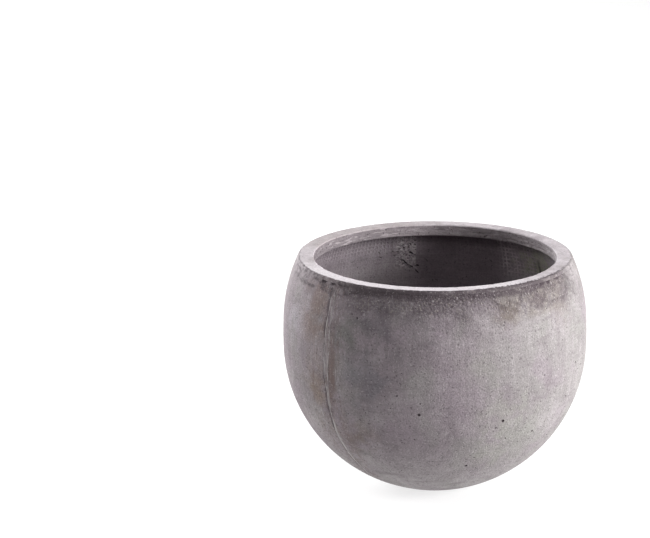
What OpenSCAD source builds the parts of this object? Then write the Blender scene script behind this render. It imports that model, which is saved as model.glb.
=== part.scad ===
// Round bowl planter, laid up by hand from fibre reinforced concrete in a split
// mould. The origin is on the floor, under the middle of the base, with +Z up.
// All sizes are in millimetres.

/* [Overall form] */
// Diameter of the belly, the widest part of the bowl
bowl_d = 360; // [300:5:440]
// Height from the floor to the flat top of the rim
bowl_h = 277; // [230:1:340]
// Diameter of the flat that the bowl stands on
base_d = 90; // [60:5:160]
// Height of the band round the belly, between the ball below and the shoulder above
belly_band_h = 22; // [2:1:30]
// How far the band swells out at its middle
belly_crown = 0.2; // [0.1:0.1:0.5]

/* [Rim and mouth] */
// How far the rim's outer edge is drawn in from the belly
rim_inset = 18; // [10:1:30]
// Width of the rim's flat top, from the mouth to the rim's outer edge
rim_w = 18.5; // [14:0.5:24]
// Depth of the lip's upright face round the mouth
lip_h = 14; // [8:0.5:20]
// Depth of the part of the rim that caps the edge of the wall
rim_cap_h = 4; // [2:0.5:7]
// Radius of the rim's rounded outer edge
rim_edge_r = 2.5; // [0.5:0.5:3]

/* [Layers of the wall] */
// Thickness of the fine face coat against the mould
face_coat_t = 3; // [2:0.5:5]
// Thickness of the fibre reinforced backing coat
backing_coat_t = 6; // [4:0.5:9]
// Thickness of the glass net, bedded in slurry
net_t = 1; // [0.6:0.2:1.6]
// Thickness of the thin skim over the net
skim_coat_t = 1; // [0.6:0.2:2]
// Thickness of the whole floor of the bowl over its flat base
floor_t = 14; // [12:0.5:20]

/* [Glass net] */
// Number of upright strips of net round the wall
net_strips = 8; // [6:1:12]
// Gap between two neighbouring strips at the belly
net_strip_gap = 3; // [1:0.5:8]
// Height of the edge of the dish of net that lines the floor
net_dish_h = 40; // [28:1:60]
// Distance from the top of the net up to the rim's cap
net_top_cover = 12; // [8:1:30]
// Distance from the net's hole to the drain hole
net_drain_cover = 6; // [3:1:12]

/* [Drain hole and plug] */
// Diameter of the drain hole
drain_d = 24; // [16:1:32]
// Clearance between the plug's stem and the drain hole, all round
plug_clearance = 0.3; // [0.1:0.1:0.6]
// How far the plug's stem stays above the floor that the bowl stands on
plug_recess = 3; // [1:0.5:6]
// Width of the plug's flange beyond the drain hole
plug_flange_w = 7; // [4:0.5:10]
// Thickness of the plug's flange
plug_flange_t = 3; // [2:0.5:5]
// Diameter of the plug's grip
plug_grip_d = 13; // [10:0.5:16]
// Height of the plug's grip above its flange
plug_grip_h = 9; // [6:0.5:14]

/* [Hidden] */
$fn = 240;

// Heights and radii where two arcs meet are whole thousandths, so that they meet exactly.
function thousandths(length) = round(1000 * length) / 1000;

// The lower bowl is part of a ball whose centre is on the axis, at this height.
belly_r = bowl_d / 2;
ball_r = belly_r - belly_crown;
belly_z = thousandths(sqrt(ball_r * ball_r - base_d * base_d / 4));

// The band is a shallow arc from the top of the ball to the foot of the shoulder.
band_rise = belly_band_h * belly_band_h / 4 + belly_crown * belly_crown;
band_r = thousandths(band_rise / (2 * belly_crown));
shoulder_z = belly_z + belly_band_h;

// The shoulder is an arc that leaves the belly upright and ends at the rim's edge.
rim_r = belly_r - rim_inset;
shoulder_in = ball_r - rim_r;
shoulder_h = bowl_h - shoulder_z;
shoulder_rise = shoulder_in * shoulder_in + shoulder_h * shoulder_h;
shoulder_r = thousandths(shoulder_rise / (2 * shoulder_in));
shoulder_x = ball_r - shoulder_r;
mouth_r = rim_r - rim_w;
rim_seat_z = bowl_h - rim_cap_h;

// Depth of each layer's outer face below the outside of the bowl
backing_in = face_coat_t;
net_in = backing_in + backing_coat_t;
skim_in = net_in + net_t;
wall_t = skim_in + skim_coat_t;

// Height of each layer's underside over the flat base
net_floor_z = floor_t - skim_coat_t - net_t;
skim_floor_z = floor_t - skim_coat_t;
net_top_z = rim_seat_z - net_top_cover;

drain_r = drain_d / 2;
stem_r = drain_r - plug_clearance;
flange_r = drain_r + plug_flange_w;
flange_edge_r = plug_flange_t / 2;
stem_chamfer = 1.2;
grip_waist = 1.5;
grip_edge_r = 2;
grip_r = plug_grip_d / 2;
strip_gap_deg = 2 * asin(net_strip_gap / 2 / (belly_r - net_in));
strip_deg = 360 / net_strips;

// Cuts run this far past the face that they open.
over = 1;

// Everything between the axis and the belly, from one height to another.
module slab(z_low, z_high) {
    translate([0, z_low]) square([belly_r + over, z_high - z_low]);
}

// Half section of the bowl's outer form, taken in by inset, up to just over the rim.
// Its curves stay true arcs: a ball below, a shallow band, and the shoulder's arc.
module form(inset) {
    intersection() {
        translate([0, belly_z]) circle(ball_r - inset);
        slab(0, belly_z);
    }
    intersection() {
        translate([belly_r - inset - band_r, belly_z + belly_band_h / 2]) circle(band_r);
        slab(belly_z, shoulder_z);
    }
    intersection() {
        slab(shoulder_z, bowl_h + over);
        union() {
            translate([shoulder_x, shoulder_z]) circle(shoulder_r - inset);
            square([max(shoulder_x, over), bowl_h + over]);
        }
    }
}

// Half section of what the form encloses between two heights.
module inside(inset, z_low, z_high) {
    intersection() {
        form(inset);
        slab(z_low, z_high);
    }
}

module drain_bore(r) {
    translate([0, 0, -over]) cylinder(h = floor_t + 2 * over, r = r);
}

// The corner that the rim's rounded outer edge takes away.
module rim_edge_cut() {
    edge_z = bowl_h - rim_edge_r;
    edge_x = shoulder_x + sqrt(pow(shoulder_r - rim_edge_r, 2) - pow(edge_z - shoulder_z, 2));
    lean = atan2(edge_z - shoulder_z, edge_x - shoulder_x);
    half_turn = (90 + lean) / 2;
    reach = 2 * rim_edge_r;
    translate([edge_x, edge_z]) difference() {
        polygon([
            [0, 0],
            [0, reach],
            1.2 * reach * [cos(half_turn), sin(half_turn)],
            reach * [cos(lean), sin(lean)],
        ]);
        circle(rim_edge_r);
    }
}

// Fine outer skin, first into the mould: the whole outside and the underside.
module face_coat() {
    color([0.60, 0.57, 0.57]) difference() {
        rotate_extrude() difference() {
            inside(0, 0, rim_seat_z);
            inside(backing_in, face_coat_t, bowl_h + over);
        }
        drain_bore(drain_r);
    }
}

// Fibre reinforced coat that carries the bowl, packed behind the face coat.
// It closes round the edges of the net and between its strips.
module backing_coat() {
    color([0.50, 0.48, 0.47]) difference() {
        rotate_extrude() difference() {
            inside(backing_in, face_coat_t, rim_seat_z);
            inside(skim_in, skim_floor_z, bowl_h + over);
        }
        wall_strips(over);
        net_dish(over);
        drain_bore(drain_r);
    }
}

// Upright strips of net, side by side round the wall. As a cut, they run past the
// inner face of the backing coat.
module wall_strips(past = 0) {
    for (i = [0 : net_strips - 1])
        rotate([0, 0, i * strip_deg + strip_gap_deg / 2])
            rotate_extrude(angle = strip_deg - strip_gap_deg) difference() {
                inside(net_in, net_dish_h + net_strip_gap, net_top_z);
                inside(skim_in + past, skim_floor_z + past, bowl_h + over);
            }
}

module wall_net() {
    color([0.86, 0.86, 0.80]) wall_strips();
}

// Dish of net that lines the floor and turns up into the wall, and its cut likewise.
module net_dish(past = 0) {
    rotate_extrude() difference() {
        inside(net_in, net_floor_z, net_dish_h);
        inside(skim_in + past, skim_floor_z + past, bowl_h + over);
        square([drain_r + net_drain_cover, net_dish_h]);
    }
}

module base_net() {
    color([0.86, 0.86, 0.80]) net_dish();
}

// Thin skim over the net: the inner face of the bowl and its floor.
module skim_coat() {
    color([0.44, 0.42, 0.41]) difference() {
        rotate_extrude() difference() {
            inside(skim_in, skim_floor_z, rim_seat_z);
            inside(wall_t, floor_t, bowl_h + over);
        }
        drain_bore(drain_r);
    }
}

// Ring of stiff mix, trowelled flat: it caps the coats and thickens into the lip.
module rim_ring() {
    color([0.74, 0.71, 0.71]) rotate_extrude() difference() {
        union() {
            inside(0, rim_seat_z, bowl_h);
            inside(wall_t, bowl_h - lip_h, bowl_h);
        }
        square([mouth_r, bowl_h + over]);
        rim_edge_cut();
    }
}

// Rubber plug: its stem fills the drain hole and its flange lies on the bowl's floor.
module drain_plug() {
    flange_z = floor_t + plug_flange_t;
    grip_z = flange_z + plug_grip_h;
    color([0.16, 0.16, 0.17]) rotate_extrude() {
        polygon([
            [0, plug_recess],
            [stem_r - stem_chamfer, plug_recess],
            [stem_r, plug_recess + stem_chamfer],
            [stem_r, floor_t],
            [0, floor_t],
        ]);
        translate([0, floor_t]) square([flange_r - flange_edge_r, plug_flange_t]);
        intersection() {
            translate([flange_r - flange_edge_r, floor_t + flange_edge_r]) circle(flange_edge_r);
            slab(floor_t, flange_z);
        }
        translate([0, flange_z]) square([grip_r - grip_waist, plug_grip_h - grip_edge_r]);
        translate([0, grip_z - 2 * grip_edge_r]) square([grip_r - grip_edge_r, 2 * grip_edge_r]);
        translate([grip_r - grip_edge_r, grip_z - grip_edge_r]) circle(grip_edge_r);
    }
}

face_coat();
backing_coat();
wall_net();
base_net();
skim_coat();
rim_ring();
drain_plug();
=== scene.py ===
"""Looks of a round concrete bowl planter, laid up by hand in a split mould.

Everything is in metres, in the frame of the CAD model: the origin is on the floor under the
middle of the base, +Z is up, and the bowl is seen from -Y. An azimuth is an angle in degrees
round the axis, 0 at the front and growing to the right. Patterns of finishes, stains, air holes
and flakes are given in millimetres, as their docstrings say.
"""
import logging
import math
import random
from collections.abc import Iterable, Sequence
from dataclasses import dataclass
from enum import Enum
from functools import reduce

import bpy
from mathutils import Matrix, Vector


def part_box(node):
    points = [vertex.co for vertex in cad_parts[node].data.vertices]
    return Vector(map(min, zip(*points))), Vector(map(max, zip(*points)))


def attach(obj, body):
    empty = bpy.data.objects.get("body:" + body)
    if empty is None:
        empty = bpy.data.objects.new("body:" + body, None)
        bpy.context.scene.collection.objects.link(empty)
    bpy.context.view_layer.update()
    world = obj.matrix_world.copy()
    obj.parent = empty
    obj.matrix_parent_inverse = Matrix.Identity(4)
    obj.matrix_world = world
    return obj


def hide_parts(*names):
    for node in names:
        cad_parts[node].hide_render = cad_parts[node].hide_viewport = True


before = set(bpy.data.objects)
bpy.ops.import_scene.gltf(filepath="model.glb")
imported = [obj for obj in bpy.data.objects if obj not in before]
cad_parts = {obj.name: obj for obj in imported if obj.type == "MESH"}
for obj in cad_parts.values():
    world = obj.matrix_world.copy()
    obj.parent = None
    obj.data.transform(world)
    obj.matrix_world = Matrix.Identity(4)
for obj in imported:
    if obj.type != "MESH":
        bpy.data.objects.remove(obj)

log = logging.getLogger("planter")

MM = 0.001
# Points nearer than this to each other are merged.
WELD = 1e-6
Point = tuple[float, float]
Colour = tuple[float, float, float, float]
Socket = bpy.types.NodeSocket
# A coat of colour: its sRGB colour, its share from 0 to 1, and its strength.
Coat = tuple[str, Socket, float]


class Cut(Enum):
    """What a second solid does to the first."""

    JOIN = "UNION"
    CARVE = "DIFFERENCE"


def linear(hex_colour: str) -> Colour:
    """Turns an sRGB colour into linear light.

    Args:
        hex_colour: The colour as "#rrggbb".

    Returns:
        Red, green, blue and an alpha of 1.
    """
    parts = [int(hex_colour[i : i + 2], 16) / 255 for i in (1, 3, 5)]
    light = [p / 12.92 if p <= 0.04045 else ((p + 0.055) / 1.055) ** 2.4 for p in parts]
    return (*light, 1.0)


def direction(azimuth: float) -> Vector:
    """The level direction from the axis towards an azimuth in degrees."""
    turn = math.radians(azimuth)
    return Vector((math.sin(turn), -math.cos(turn), 0))


def steps(start: float, end: float, count: int) -> list[float]:
    """Numbers from start to end in count even steps, both ends among them."""
    return [start + (end - start) * i / count for i in range(count + 1)]


def bend(x: float, z: float, radius: float, turns: Iterable[float]) -> list[Point]:
    """Points of a half section on a circle about x and z, one for each turn in radians."""
    return [(x + radius * math.cos(t), z + radius * math.sin(t)) for t in turns]


def new_object(name: str, data: bpy.types.ID) -> bpy.types.Object:
    """Makes an object and links it to the scene.

    Args:
        name: Its name.
        data: Its mesh, lamp or camera.

    Returns:
        The object.
    """
    made = bpy.data.objects.new(name, data)
    bpy.context.scene.collection.objects.link(made)
    return made


def mesh_object(
    name: str,
    verts: Iterable[Sequence[float]],
    edges: Sequence[tuple[int, int]] = (),
    faces: Sequence[tuple[int, ...]] = (),
    **shares: Sequence[float],
) -> bpy.types.Object:
    """Makes an object of a new mesh that carries numbers at its points.

    Args:
        name: Name of the mesh and its object.
        verts: The points.
        edges: Pairs of points.
        faces: Points of each face.
        shares: For each attribute, its number at each point.

    Returns:
        The object, linked so that it can be evaluated.
    """
    mesh = bpy.data.meshes.new(name)
    mesh.from_pydata([tuple(v) for v in verts], edges, faces)
    for label, values in shares.items():
        mesh.attributes.new(label, "FLOAT", "POINT").data.foreach_set("value", list(values))
    return new_object(name, mesh)


# ---------------------------------------------------------------------------- form


@dataclass(frozen=True)
class Arc:
    """One arc of the bowl's half section.

    Attributes:
        x: Radius from the bowl's axis to the arc's centre.
        z: Height of the arc's centre.
        radius: The arc's own radius.
        foot: Height where the arc begins.
        head: Height where it ends.
    """

    x: float
    z: float
    radius: float
    foot: float
    head: float

    def radius_at(self, height: float) -> float:
        """Distance from the bowl's axis to the arc at a height."""
        return self.x + math.sqrt(self.radius**2 - (height - self.z) ** 2)


@dataclass(frozen=True)
class BowlForm:
    """The bowl's form: a ball below, a shallow band round the belly and a shoulder's arc.

    Attributes:
        belly_radius: Radius of the belly.
        height: Height of the rim's flat top.
        base_radius: Radius of the flat base.
        band_height: Height of the band round the belly.
        crown: How far the band swells out.
        rim_inset: How far the rim's outer edge is drawn in from the belly.
        seams: Azimuths of the two seams of its mould, in degrees.
    """

    belly_radius: float
    height: float
    base_radius: float = 45 * MM
    band_height: float = 22 * MM
    crown: float = 0.2 * MM
    rim_inset: float = 18 * MM
    seams: Point = (-46.4, 133.6)

    @property
    def ball_radius(self) -> float:
        """Radius of the ball that the lower bowl is part of."""
        return self.belly_radius - self.crown

    @property
    def belly_height(self) -> float:
        """Height of the ball's middle, where the band begins."""
        return math.sqrt(self.ball_radius**2 - self.base_radius**2)

    @property
    def shoulder(self) -> Arc:
        """The shoulder's arc, which leaves the belly upright."""
        foot = self.belly_height + self.band_height
        inward = self.rim_inset - self.crown
        radius = (inward**2 + (self.height - foot) ** 2) / (2 * inward)
        return Arc(self.ball_radius - radius, foot, radius, foot, self.height)

    def arcs(self, inset: float = 0.0) -> list[Arc]:
        """The three arcs of the form, from the base up.

        Args:
            inset: How far they are taken in from the outside.

        Returns:
            The ball's, the band's and the shoulder's arc.
        """
        belly, half, shoulder = self.belly_height, self.band_height / 2, self.shoulder
        band = (half**2 + self.crown**2) / (2 * self.crown)
        return [
            Arc(0.0, belly, self.ball_radius - inset, 0.0, belly),
            Arc(self.belly_radius - band - inset, belly + half, band, belly, belly + 2 * half),
            Arc(shoulder.x, shoulder.z, shoulder.radius - inset, shoulder.foot, shoulder.head),
        ]

    def radius_at(self, height: float, inset: float = 0.0) -> float:
        """Distance from the axis to the face that lies inset below the outside."""
        arcs = self.arcs(inset)
        return next((a for a in arcs if height <= a.head), arcs[-1]).radius_at(height)

    def meridian(self, low: float, high: float, step: float, inset: float = 0.0) -> list[Point]:
        """Points up the form from one height to another.

        Args:
            low: Height of the first point.
            high: Height of the last point.
            step: About how far apart the points are.
            inset: How far the line lies below the outside.

        Returns:
            The points as radius and height.
        """
        points = [(self.radius_at(low, inset), low)]
        for arc in self.arcs(inset):
            foot, head = max(low, arc.foot), min(high, arc.head)
            if head > foot:
                start, end = (math.asin((z - arc.z) / arc.radius) for z in (foot, head))
                count = max(1, round(arc.radius * (end - start) / step))
                points += bend(arc.x, arc.z, arc.radius, steps(start, end, count)[1:])
        return points

    def place(self, azimuth: float, height: float, inset: float = 0.0) -> Vector:
        """The point at an azimuth and a height, inset below the outside."""
        return direction(azimuth) * self.radius_at(height, inset) + Vector((0, 0, height))

    def outward(self, azimuth: float, height: float) -> Vector:
        """The outside's normal.

        Args:
            azimuth: Where it is taken, in degrees.
            height: How high it is taken.

        Returns:
            The unit vector that points away from the bowl.
        """
        arc = next((a for a in self.arcs() if height <= a.head), self.shoulder)
        slope = direction(azimuth) * (arc.radius_at(height) - arc.x)
        return (slope + Vector((0, 0, height - arc.z))).normalized()


class HalfSection:
    """A closed half section, walked clockwise with the axis on its left.

    Each point carries two shares from 0 to 1: wave, how much of the piece's unevenness it
    takes, and edge, how much of the wear of an arris.
    """

    def __init__(self) -> None:
        """Begins with no points."""
        self.points: list[Point] = []
        self.wave: list[float] = []
        self.edge: list[float] = []

    def run(self, points: Iterable[Point], wave: float = 0.0, edges: Sequence[float] = ()) -> None:
        """Adds points that share a wave.

        Args:
            points: The points as radius and height, in walking order.
            wave: Their share of the unevenness.
            edges: Their shares of the arris's wear, for the last points of the run.
        """
        points = list(points)
        self.points += points
        self.wave += [wave] * len(points)
        self.edge += [0.0] * (len(points) - len(edges)) + list(edges)

    def carrier(self, name: str, path_radius: float) -> bpy.types.Object:
        """Draws the section as the profile for a round path.

        A section that begins and ends on the axis is left open there.

        Args:
            name: Name of the wire's mesh.
            path_radius: Radius of the path that the section is swept along.

        Returns:
            The wire, whose points carry their waves and edges.
        """
        verts = [(r - path_radius, -z, 0.0) for r, z in self.points]
        count = len(verts)
        sides = count - 1 if self.points[0][0] == self.points[-1][0] == 0.0 else count
        edges = [(i, (i + 1) % count) for i in range(sides)]
        return mesh_object(name, verts, edges, wave=self.wave, edge=self.edge)


# ---------------------------------------------------------------------------- node trees


class Tree:
    """A node tree in the making."""

    def __init__(self, tree: bpy.types.NodeTree) -> None:
        """Begins with no nodes."""
        self.tree = tree
        tree.nodes.clear()

    def add(
        self, kind: str, links: dict | None = None, out: int | str = 0, **settings: object,
    ) -> Socket | None:
        """Adds a node, with its settings and links.

        Args:
            kind: Blender's name for the kind of node.
            links: For each input, by name or number, the socket that feeds it, a list of
                such sockets, or its value.
            out: The output that is handed back, by name or number.
            settings: The node's own settings.

        Returns:
            The node's output, or nothing for a node that ends a tree.
        """
        node = self.tree.nodes.new(kind)
        for name, value in settings.items():
            setattr(node, name, value)
        for key, value in (links or {}).items():
            for source in value if isinstance(value, list) else [value]:
                if isinstance(source, bpy.types.NodeSocket):
                    self.tree.links.new(source, node.inputs[key])
                else:
                    node.inputs[key].default_value = source
        return node.outputs[out] if len(node.outputs) else None

    def joined(self, operation: str, *values: Socket | float) -> Socket:
        """Several numbers joined from the left by one operation."""
        return reduce(lambda a, b: self.add("ShaderNodeMath", {0: a, 1: b}, operation=operation),
                      values)

    def times(self, *factors: Socket | float) -> Socket:
        """The product of several numbers."""
        return self.joined("MULTIPLY", *factors)

    def highest(self, *values: Socket | float) -> Socket:
        """The highest of several numbers."""
        return self.joined("MAXIMUM", *values)

    def radius(self, spot: Socket) -> Socket:
        """How far a place is from the bowl's axis."""
        level = self.add("ShaderNodeVectorMath", {0: spot, 1: (1, 1, 0)}, operation="MULTIPLY")
        return self.add("ShaderNodeVectorMath", {0: level}, out="Value", operation="LENGTH")

    def window(
        self, value: Socket, low: float, high: float, soft: float, fall: str = "SMOOTHSTEP",
    ) -> Socket:
        """A share that is 1 between two limits.

        Args:
            value: What the limits are for.
            low: The lower limit.
            high: The upper limit.
            soft: How far beyond a limit the share is 0.
            fall: How it falls there, by the Map Range node's name for it.

        Returns:
            The share.
        """
        sides = [self.add("ShaderNodeMapRange",
                          {"Value": value, "From Min": none, "From Max": full},
                          interpolation_type=fall)
                 for none, full in ((low - soft, low), (high + soft, high))]
        return self.times(*sides)


@dataclass(frozen=True)
class Waves:
    """Lumps on a face.

    Attributes:
        size: About how wide they are.
        depth: How far they sink the face at most, or lift it where it is negative.
        seed: Which of many like patterns it is.
        detail: How many finer copies are added.
    """

    size: float
    depth: float
    seed: int
    detail: float = 2.0


@dataclass(frozen=True)
class Chips:
    """Chips along an arris.

    Attributes:
        size: About how wide they are.
        depth: Depth of the deepest.
        low: Noise value where they begin.
        high: Noise value where they are deepest.
        seed: Which of many like patterns it is.
    """

    size: float
    depth: float
    low: float
    high: float
    seed: int


@dataclass(frozen=True)
class Pits:
    """Small round air holes.

    Attributes:
        spacing: Least distance between two.
        density: How many there are in a square metre.
        least: Radius of the smallest.
        most: Radius of the largest.
        seed: Seed for their places and sizes.
    """

    spacing: float
    density: float
    least: float
    most: float
    seed: int


class Recipe(Tree):
    """A Geometry Nodes tree with named sizes, run once on a carrier mesh."""

    SOCKETS = {
        int: "NodeSocketInt",
        float: "NodeSocketFloat",
        bpy.types.Object: "NodeSocketObject",
        bpy.types.Material: "NodeSocketMaterial",
    }
    # Attributes that only the trees read.
    PASSING = ("wave", "edge", "over", "along", "girth", "outward")

    def __init__(self, name: str) -> None:
        """Begins a tree whose first input is the carrier's geometry.

        Args:
            name: The tree's name.
        """
        super().__init__(bpy.data.node_groups.new(name, "GeometryNodeTree"))
        for way in ("INPUT", "OUTPUT"):
            self.tree.interface.new_socket("Geometry", in_out=way,
                                           socket_type="NodeSocketGeometry")
        self.start = self.tree.nodes.new("NodeGroupInput")
        self.values: dict[str, object] = {}

    def size(self, label: str, value: int | float | bpy.types.ID) -> Socket:
        """Adds a named input to the tree.

        Args:
            label: The input's name.
            value: What the modifier sets it to.

        Returns:
            The socket that carries it.
        """
        kind = self.SOCKETS[type(value)]
        item = self.tree.interface.new_socket(label, in_out="INPUT", socket_type=kind)
        self.values[item.identifier] = value
        return next(s for s in self.start.outputs if s.identifier == item.identifier)

    def run(
        self, geometry: Socket, material: bpy.types.Material, carrier: bpy.types.Object,
        name: str, *helpers: bpy.types.Object,
    ) -> bpy.types.Object:
        """Ends the tree, runs it and keeps its result as a plain mesh.

        Args:
            geometry: What the tree has made.
            material: The finish that it takes.
            carrier: The object whose mesh goes in. It is removed afterwards.
            name: Name of the finished piece.
            helpers: Other objects that the tree reads, removed likewise.

        Returns:
            The finished piece's object.
        """
        real = self.add("GeometryNodeRealizeInstances", {"Geometry": geometry})
        links = {"Geometry": real, "Material": self.size("Material", material)}
        self.add("NodeGroupOutput", {0: self.add("GeometryNodeSetMaterial", links)})
        modifier = carrier.modifiers.new(self.tree.name, "NODES")
        modifier.node_group = self.tree
        for identifier, value in self.values.items():
            modifier[identifier] = value
        graph = bpy.context.evaluated_depsgraph_get()
        mesh = bpy.data.meshes.new_from_object(carrier.evaluated_get(graph))
        carrier.modifiers.remove(modifier)
        for used in (carrier, *helpers):
            bpy.data.objects.remove(used)
        mesh.name = name
        while mesh.materials[0] is None:
            mesh.materials.pop(index=0)
        for label in self.PASSING:
            if label in mesh.attributes:
                mesh.attributes.remove(mesh.attributes[label])
        return new_object(name, mesh)

    # Steps that the pieces share.

    def revolve(self, columns: int, path_radius: float) -> Socket:
        """Sweeps the carried half section round the axis.

        Args:
            columns: How many steps the turn has.
            path_radius: Radius of the path, as the half section was drawn for.

        Returns:
            The closed mesh, with any points on the axis merged.
        """
        sizes = {"Resolution": self.size("Columns", columns),
                 "Radius": self.size("Path Radius", path_radius)}
        path = self.add("GeometryNodeCurvePrimitiveCircle", sizes)
        upright = self.add("GeometryNodeSetCurveNormal", {"Curve": path}, mode="Z_UP")
        section = self.add("GeometryNodeMeshToCurve", {"Mesh": self.start.outputs[0]})
        swept = self.add("GeometryNodeCurveToMesh", {"Curve": upright, "Profile Curve": section})
        return self.add("GeometryNodeMergeByDistance", {"Geometry": swept, "Distance": WELD})

    def share(self, label: str, kind: str = "FLOAT") -> Socket:
        """A number or a vector that the carrier's points or edges hold."""
        return self.add("GeometryNodeInputNamedAttribute", {"Name": label}, out="Attribute",
                        data_type=kind)

    def rods(self, wires: Socket, sides: int, radius: Socket, **scale: Socket) -> Socket:
        """Lays closed rods along bare edges.

        Args:
            wires: The edges.
            sides: How many sides a rod has.
            radius: A rod's radius.
            scale: As Scale, what its radius is multiplied by along the way.

        Returns:
            The rods' mesh.
        """
        links = {"Curve": self.add("GeometryNodeMeshToCurve", {"Mesh": wires}),
                 "Profile Curve": self.add("GeometryNodeCurvePrimitiveCircle",
                                           {"Resolution": sides, "Radius": radius}),
                 "Fill Caps": True, **scale}
        return self.add("GeometryNodeCurveToMesh", links)

    def read(self, label: str, helper: bpy.types.Object) -> Socket:
        """The geometry of a helper, which is a named input of the tree."""
        return self.add("GeometryNodeObjectInfo", {0: self.size(label, helper)}, out="Geometry")

    def lumps(self, label: str, size: float, seed: int, detail: float = 2.0) -> Socket:
        """Smooth noise over the piece.

        Args:
            label: Name of the input that holds the size.
            size: About how wide a lump is.
            seed: Which of many like patterns it is.
            detail: How many finer copies are added.

        Returns:
            The noise, from 0 to 1.
        """
        spot = self.add("GeometryNodeInputPosition")
        scale = self.add("ShaderNodeMath", {0: 1.0, 1: self.size(label, size)},
                         operation="DIVIDE")
        return self.add("ShaderNodeTexNoise",
                        {"Vector": spot, "W": float(seed), "Scale": scale, "Detail": detail},
                        noise_dimensions="4D")

    def sink(self, mesh: Socket, depth: Socket) -> Socket:
        """Moves the points in along their normals.

        Args:
            mesh: The mesh.
            depth: How far each point moves.

        Returns:
            The moved mesh.
        """
        normal = self.add("GeometryNodeInputNormal")
        offset = self.add("ShaderNodeVectorMath", {0: normal, "Scale": self.times(depth, -1.0)},
                          operation="SCALE")
        return self.add("GeometryNodeSetPosition", {"Geometry": mesh, "Offset": offset})

    def wavy(self, mesh: Socket, *waves: Waves) -> Socket:
        """Makes a mesh uneven, as far as the wave of its section lets it.

        Args:
            mesh: The mesh.
            waves: Its swell and, where it has one, its ripple.

        Returns:
            The uneven mesh.
        """
        depths = [self.times(self.share("wave"),
                             self.lumps(f"{label} Size", each.size, each.seed, each.detail),
                             self.size(label, each.depth))
                  for label, each in zip(("Swell", "Ripple"), waves)]
        return self.sink(mesh, self.joined("ADD", *depths))

    def chipped(self, chips: Chips, *shares: Socket) -> tuple[Socket, Socket]:
        """Chips an arris.

        Args:
            chips: The chips.
            shares: What they are multiplied by, along the arris and across it.

        Returns:
            How much is chipped off, from 0 to 1, and how deep that is.
        """
        knocks = self.lumps("Chip Size", chips.size, chips.seed)
        knocked = self.add("ShaderNodeMapRange",
                           {"Value": knocks, "From Min": chips.low, "From Max": chips.high})
        lost = self.times(knocked, *shares)
        return lost, self.times(lost, self.size("Chip Depth", chips.depth))

    def facing(self, azimuth: float, spread: float) -> Socket:
        """A share that is 1 at an azimuth.

        Args:
            azimuth: The azimuth, in degrees.
            spread: How many degrees from it the share is 0.

        Returns:
            The share.
        """
        spot = self.add("GeometryNodeInputPosition")
        level = self.add("ShaderNodeVectorMath", {0: spot, 1: (1, 1, 0)}, operation="MULTIPLY")
        unit = self.add("ShaderNodeVectorMath", {0: level}, operation="NORMALIZE")
        likeness = self.add("ShaderNodeVectorMath", {0: unit, 1: direction(azimuth)},
                            out="Value", operation="DOT_PRODUCT")
        limits = {"Value": likeness, "From Min": math.cos(math.radians(spread)), "From Max": 1.0}
        return self.add("ShaderNodeMapRange", limits, interpolation_type="SMOOTHSTEP")

    def between(self, low: float, high: float, soft: float) -> Socket:
        """A share that is 1 between two heights, in millimetres.

        Args:
            low: The lower height.
            high: The upper height.
            soft: How far beyond them the share is 0.

        Returns:
            The share.
        """
        spot = self.add("GeometryNodeInputPosition")
        height = self.add("ShaderNodeSeparateXYZ", {0: spot}, out="Z")
        return self.window(height, low * MM, high * MM, soft * MM, "LINEAR")

    def combine(self, mesh: Socket, other: Socket, label: str, cut: Cut) -> Socket:
        """Joins a second closed mesh to the first, or carves it out.

        Args:
            mesh: The first mesh.
            other: The second mesh.
            label: An attribute that its faces get, of 1, for a material to find them by.
            cut: What it does to the first.

        Returns:
            The one mesh that is left.
        """
        marked = self.add("GeometryNodeStoreNamedAttribute",
                          {"Geometry": other, "Name": label, "Value": 1.0}, domain="FACE")
        carved, joined = {"Mesh 1": mesh, "Mesh 2": marked}, {"Mesh 2": [marked, mesh]}
        links = carved if cut is Cut.CARVE else joined
        return self.add("GeometryNodeMeshBoolean", links, operation=cut.value, solver="MANIFOLD")

    def bore(self, mesh: Socket, points: Socket, radius: Socket, sides: int, rings: int) -> Socket:
        """Carves a round hole into a mesh at each point.

        Args:
            mesh: The closed mesh.
            points: Where the holes are.
            radius: The radius of each.
            sides: How many sides a hole has round its axis.
            rings: How many rows of them it has.

        Returns:
            The mesh with its holes, whose faces carry the attribute "hollow".
        """
        ball = self.add("GeometryNodeMeshUVSphere",
                        {"Segments": sides, "Rings": rings, "Radius": 1.0})
        placed = self.add("GeometryNodeInstanceOnPoints",
                          {"Points": points, "Instance": ball, "Scale": radius})
        balls = self.add("GeometryNodeRealizeInstances", {"Geometry": placed})
        return self.combine(mesh, balls, "hollow", Cut.CARVE)

    def pit(self, mesh: Socket, share: Socket, pits: Pits) -> Socket:
        """Carves small air holes into a mesh.

        Args:
            mesh: The closed mesh.
            share: Where they lie: 0 for none, 1 for their full density.
            pits: The holes.

        Returns:
            The mesh with its holes.
        """
        number = self.size("Pit Seed", pits.seed)
        points = self.add(
            "GeometryNodeDistributePointsOnFaces",
            {"Mesh": mesh, "Distance Min": self.size("Pit Spacing", pits.spacing),
             "Density Max": self.size("Pit Density", pits.density), "Density Factor": share,
             "Seed": number},
            distribute_method="POISSON",
        )
        draw = self.add("FunctionNodeRandomValue", {2: 0.0, 3: 1.0, "Seed": number}, out=1)
        few_large = self.add("ShaderNodeMath", {0: draw, 1: 3.0}, operation="POWER")
        radius = self.add("ShaderNodeMapRange",
                          {"Value": few_large, "To Min": self.size("Least Pit Radius", pits.least),
                           "To Max": self.size("Most Pit Radius", pits.most)})
        return self.bore(mesh, points, radius, sides=8, rings=6)

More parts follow.
